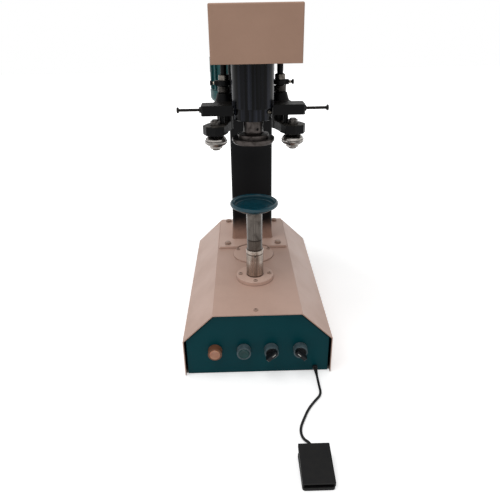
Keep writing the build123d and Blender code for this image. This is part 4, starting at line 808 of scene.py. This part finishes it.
# Cast iron is dark and rough, rubbed smoother by the belt; the belt's rubber is matt and dusty.
cast_iron = blotchy_metal("cast_iron", "#4A4A4C", "#333336", 0.45, 0.65, 5.0, 1.0, 0.3)
dress(cast_iron, "driven_pulley", "motor_pulley")
belt_rubber = moulded_plastic("belt_rubber", "#1B1B1C", "#2D2C2A", 0.6, 0.9, 0.4, 0.3)
dress(belt_rubber, "v_belt")

# The motor's teal is greener than the panel's and lies thicker, with a soft gloss on the ribs.
motor_enamel = sprayed_enamel("motor_enamel", "#0F4648", "#1B504F", "#2F6160", 0.28, 1.5, 0.18, specular=0.2)
dress(motor_enamel, "motor")

# Hood
# One folded and welded box of thin sheet over the drive. Its beige enamel is darker and browner than the
# base's.

hood_enamel = sprayed_enamel("hood_enamel", "#A58471", "#957664", "#7E6453", 0.36)
dress(hood_enamel, "hood")

# Foot switch and its cable
# A moulded pedal on a low base, black and grained so that a shoe grips it. A rubber sheathed cable
# leaves the gland under the panel and lies in loose curves on the floor.

pedal_plastic = moulded_plastic("pedal_polyamide", "#0F0F10", "#1C1B19", 0.5, 1.1, 0.3, 0.14)
dress(pedal_plastic, "foot_switch_base", "foot_treadle")
cable_rubber = moulded_plastic("cable_rubber", "#111112", "#1D1C1B", 0.5, 1.2, 0.2, 0.2)
route = [
    (0.118, -0.148, 0.0096), (0.118, -0.170, 0.0096), (0.119, -0.192, 0.0045), (0.120, -0.216, 0.0027),
    (0.105, -0.233, 0.0027), (0.090, -0.253, 0.0027), (0.079, -0.276, 0.0027), (0.069, -0.299, 0.0027),
    (0.070, -0.321, 0.0027), (0.084, -0.335, 0.005), (0.084, -0.352, 0.005),
]
line = bpy.data.curves.new("pedal_cable", "CURVE")
line.dimensions = "3D"
spline = line.splines.new("NURBS")
spline.points.add(len(route) - 1)
for point, spot in zip(spline.points, route):
    point.co = (*spot, 1.0)
spline.order_u = 3
spline.use_endpoint_u = True
spline.resolution_u = 12
line.bevel_depth = 0.0025
line.bevel_resolution = 4
line.use_fill_caps = True
line.materials.append(cable_rubber)
cable = bpy.data.objects.new("pedal_cable", line)
bpy.context.scene.collection.objects.link(cable)
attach(cable, "machine_frame")
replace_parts(cable, "foot_switch_cable")


def boot(name, place, out, length, thick):
    """A ribbed rubber sleeve where the cable goes in: the ribs let it bend without kinking."""
    bore, thin, pitch = 0.0026, 0.0030, 0.0026
    profile = [(bore, 0.0), (thick, 0.0)]
    ribs = int(length / pitch)
    for i in range(ribs):
        start = length * i / ribs
        radius = thick + (thin - thick) * (i + 1) / ribs
        groove = radius - 0.0005
        profile += [(radius, start + 0.0014), (groove, start + 0.0017), (groove, start + 0.0023)]
    profile += [(thin - 0.0001, length), (bore, length)]
    turned = Vector(out).to_track_quat("Z", "Y").to_matrix().to_4x4()
    sleeve = gathered([(lathe(profile), Matrix.Translation(place) @ turned)])
    return piece(name, sleeve, cable_rubber, "machine_frame", 50)


gland_boot = boot("cable_boot_at_gland", route[0], (0, -1, 0), 0.018, 0.0044)
pedal_boot = boot("cable_boot_at_pedal", route[-1], (0, 1, 0), 0.014, 0.0042)

# Floor and light
# A pale studio floor with one soft lamp above it, a little to the left. To the camera, to mirrors and
# to glass the world is white, and the floor runs into it away from the machine's shadow.


def seen_directly(tree):
    """1 for what the camera, a mirror or glass looks at, 0 for what only lights the machine."""
    ray = add(tree, "ShaderNodeLightPath", {})
    seen = add(tree, "ShaderNodeMath", {0: ray["Is Camera Ray"], 1: ray["Is Glossy Ray"]},
               operation="MAXIMUM")[0]
    return add(tree, "ShaderNodeMath", {0: seen, 1: ray["Is Transmission Ray"]}, operation="MAXIMUM")[0]


floor_mesh = bmesh.new()
bmesh.ops.create_grid(floor_mesh, x_segments=1, y_segments=1, size=6.0)
floor_data = bpy.data.meshes.new("floor")
floor_mesh.to_mesh(floor_data)
floor_mesh.free()
floor = bpy.data.objects.new("floor", floor_data)
floor.location = (0, 0, -0.0005)
bpy.context.scene.collection.objects.link(floor)
floor_paint, tree, shader, place = blank("pale_floor")
away = add(tree, "ShaderNodeVectorMath", {0: place}, operation="LENGTH")["Value"]
glow = add(tree, "ShaderNodeMapRange", {"Value": away, "From Min": 0.4, "From Max": 1.1, "To Min": 0.4,
                                        "To Max": 1.0})[0]
glow = add(tree, "ShaderNodeMath", {0: glow, 1: seen_directly(tree)}, operation="MULTIPLY")[0]
white = (1, 1, 1, 1)
feed(tree, shader, {"Base Color": srgb("#F4F4F4"), "Roughness": 0.9, "Emission Color": white,
                    "Emission Strength": glow})
floor_data.materials.append(floor_paint)

world = bpy.data.worlds.new("studio")
bpy.context.scene.world = world
world.use_nodes = True
tree = world.node_tree
level = add(tree, "ShaderNodeMapRange", {"Value": seen_directly(tree), "To Min": 0.5, "To Max": 1.0})[0]
feed(tree, tree.nodes["Background"], {"Color": white, "Strength": level})

lamp = bpy.data.lights.new("overhead", "AREA")
lamp.size = 1.6
lamp.energy = 22.0
overhead = bpy.data.objects.new("overhead", lamp)
overhead.location = (-0.45, -0.5, 2.2)
overhead.rotation_mode = "QUATERNION"
aim = Vector((0, 0.05, 0.3))
overhead.rotation_quaternion = (aim - overhead.location).to_track_quat("-Z", "Y")
bpy.context.scene.collection.objects.link(overhead)
bpy.context.scene.view_settings.view_transform = "Standard"
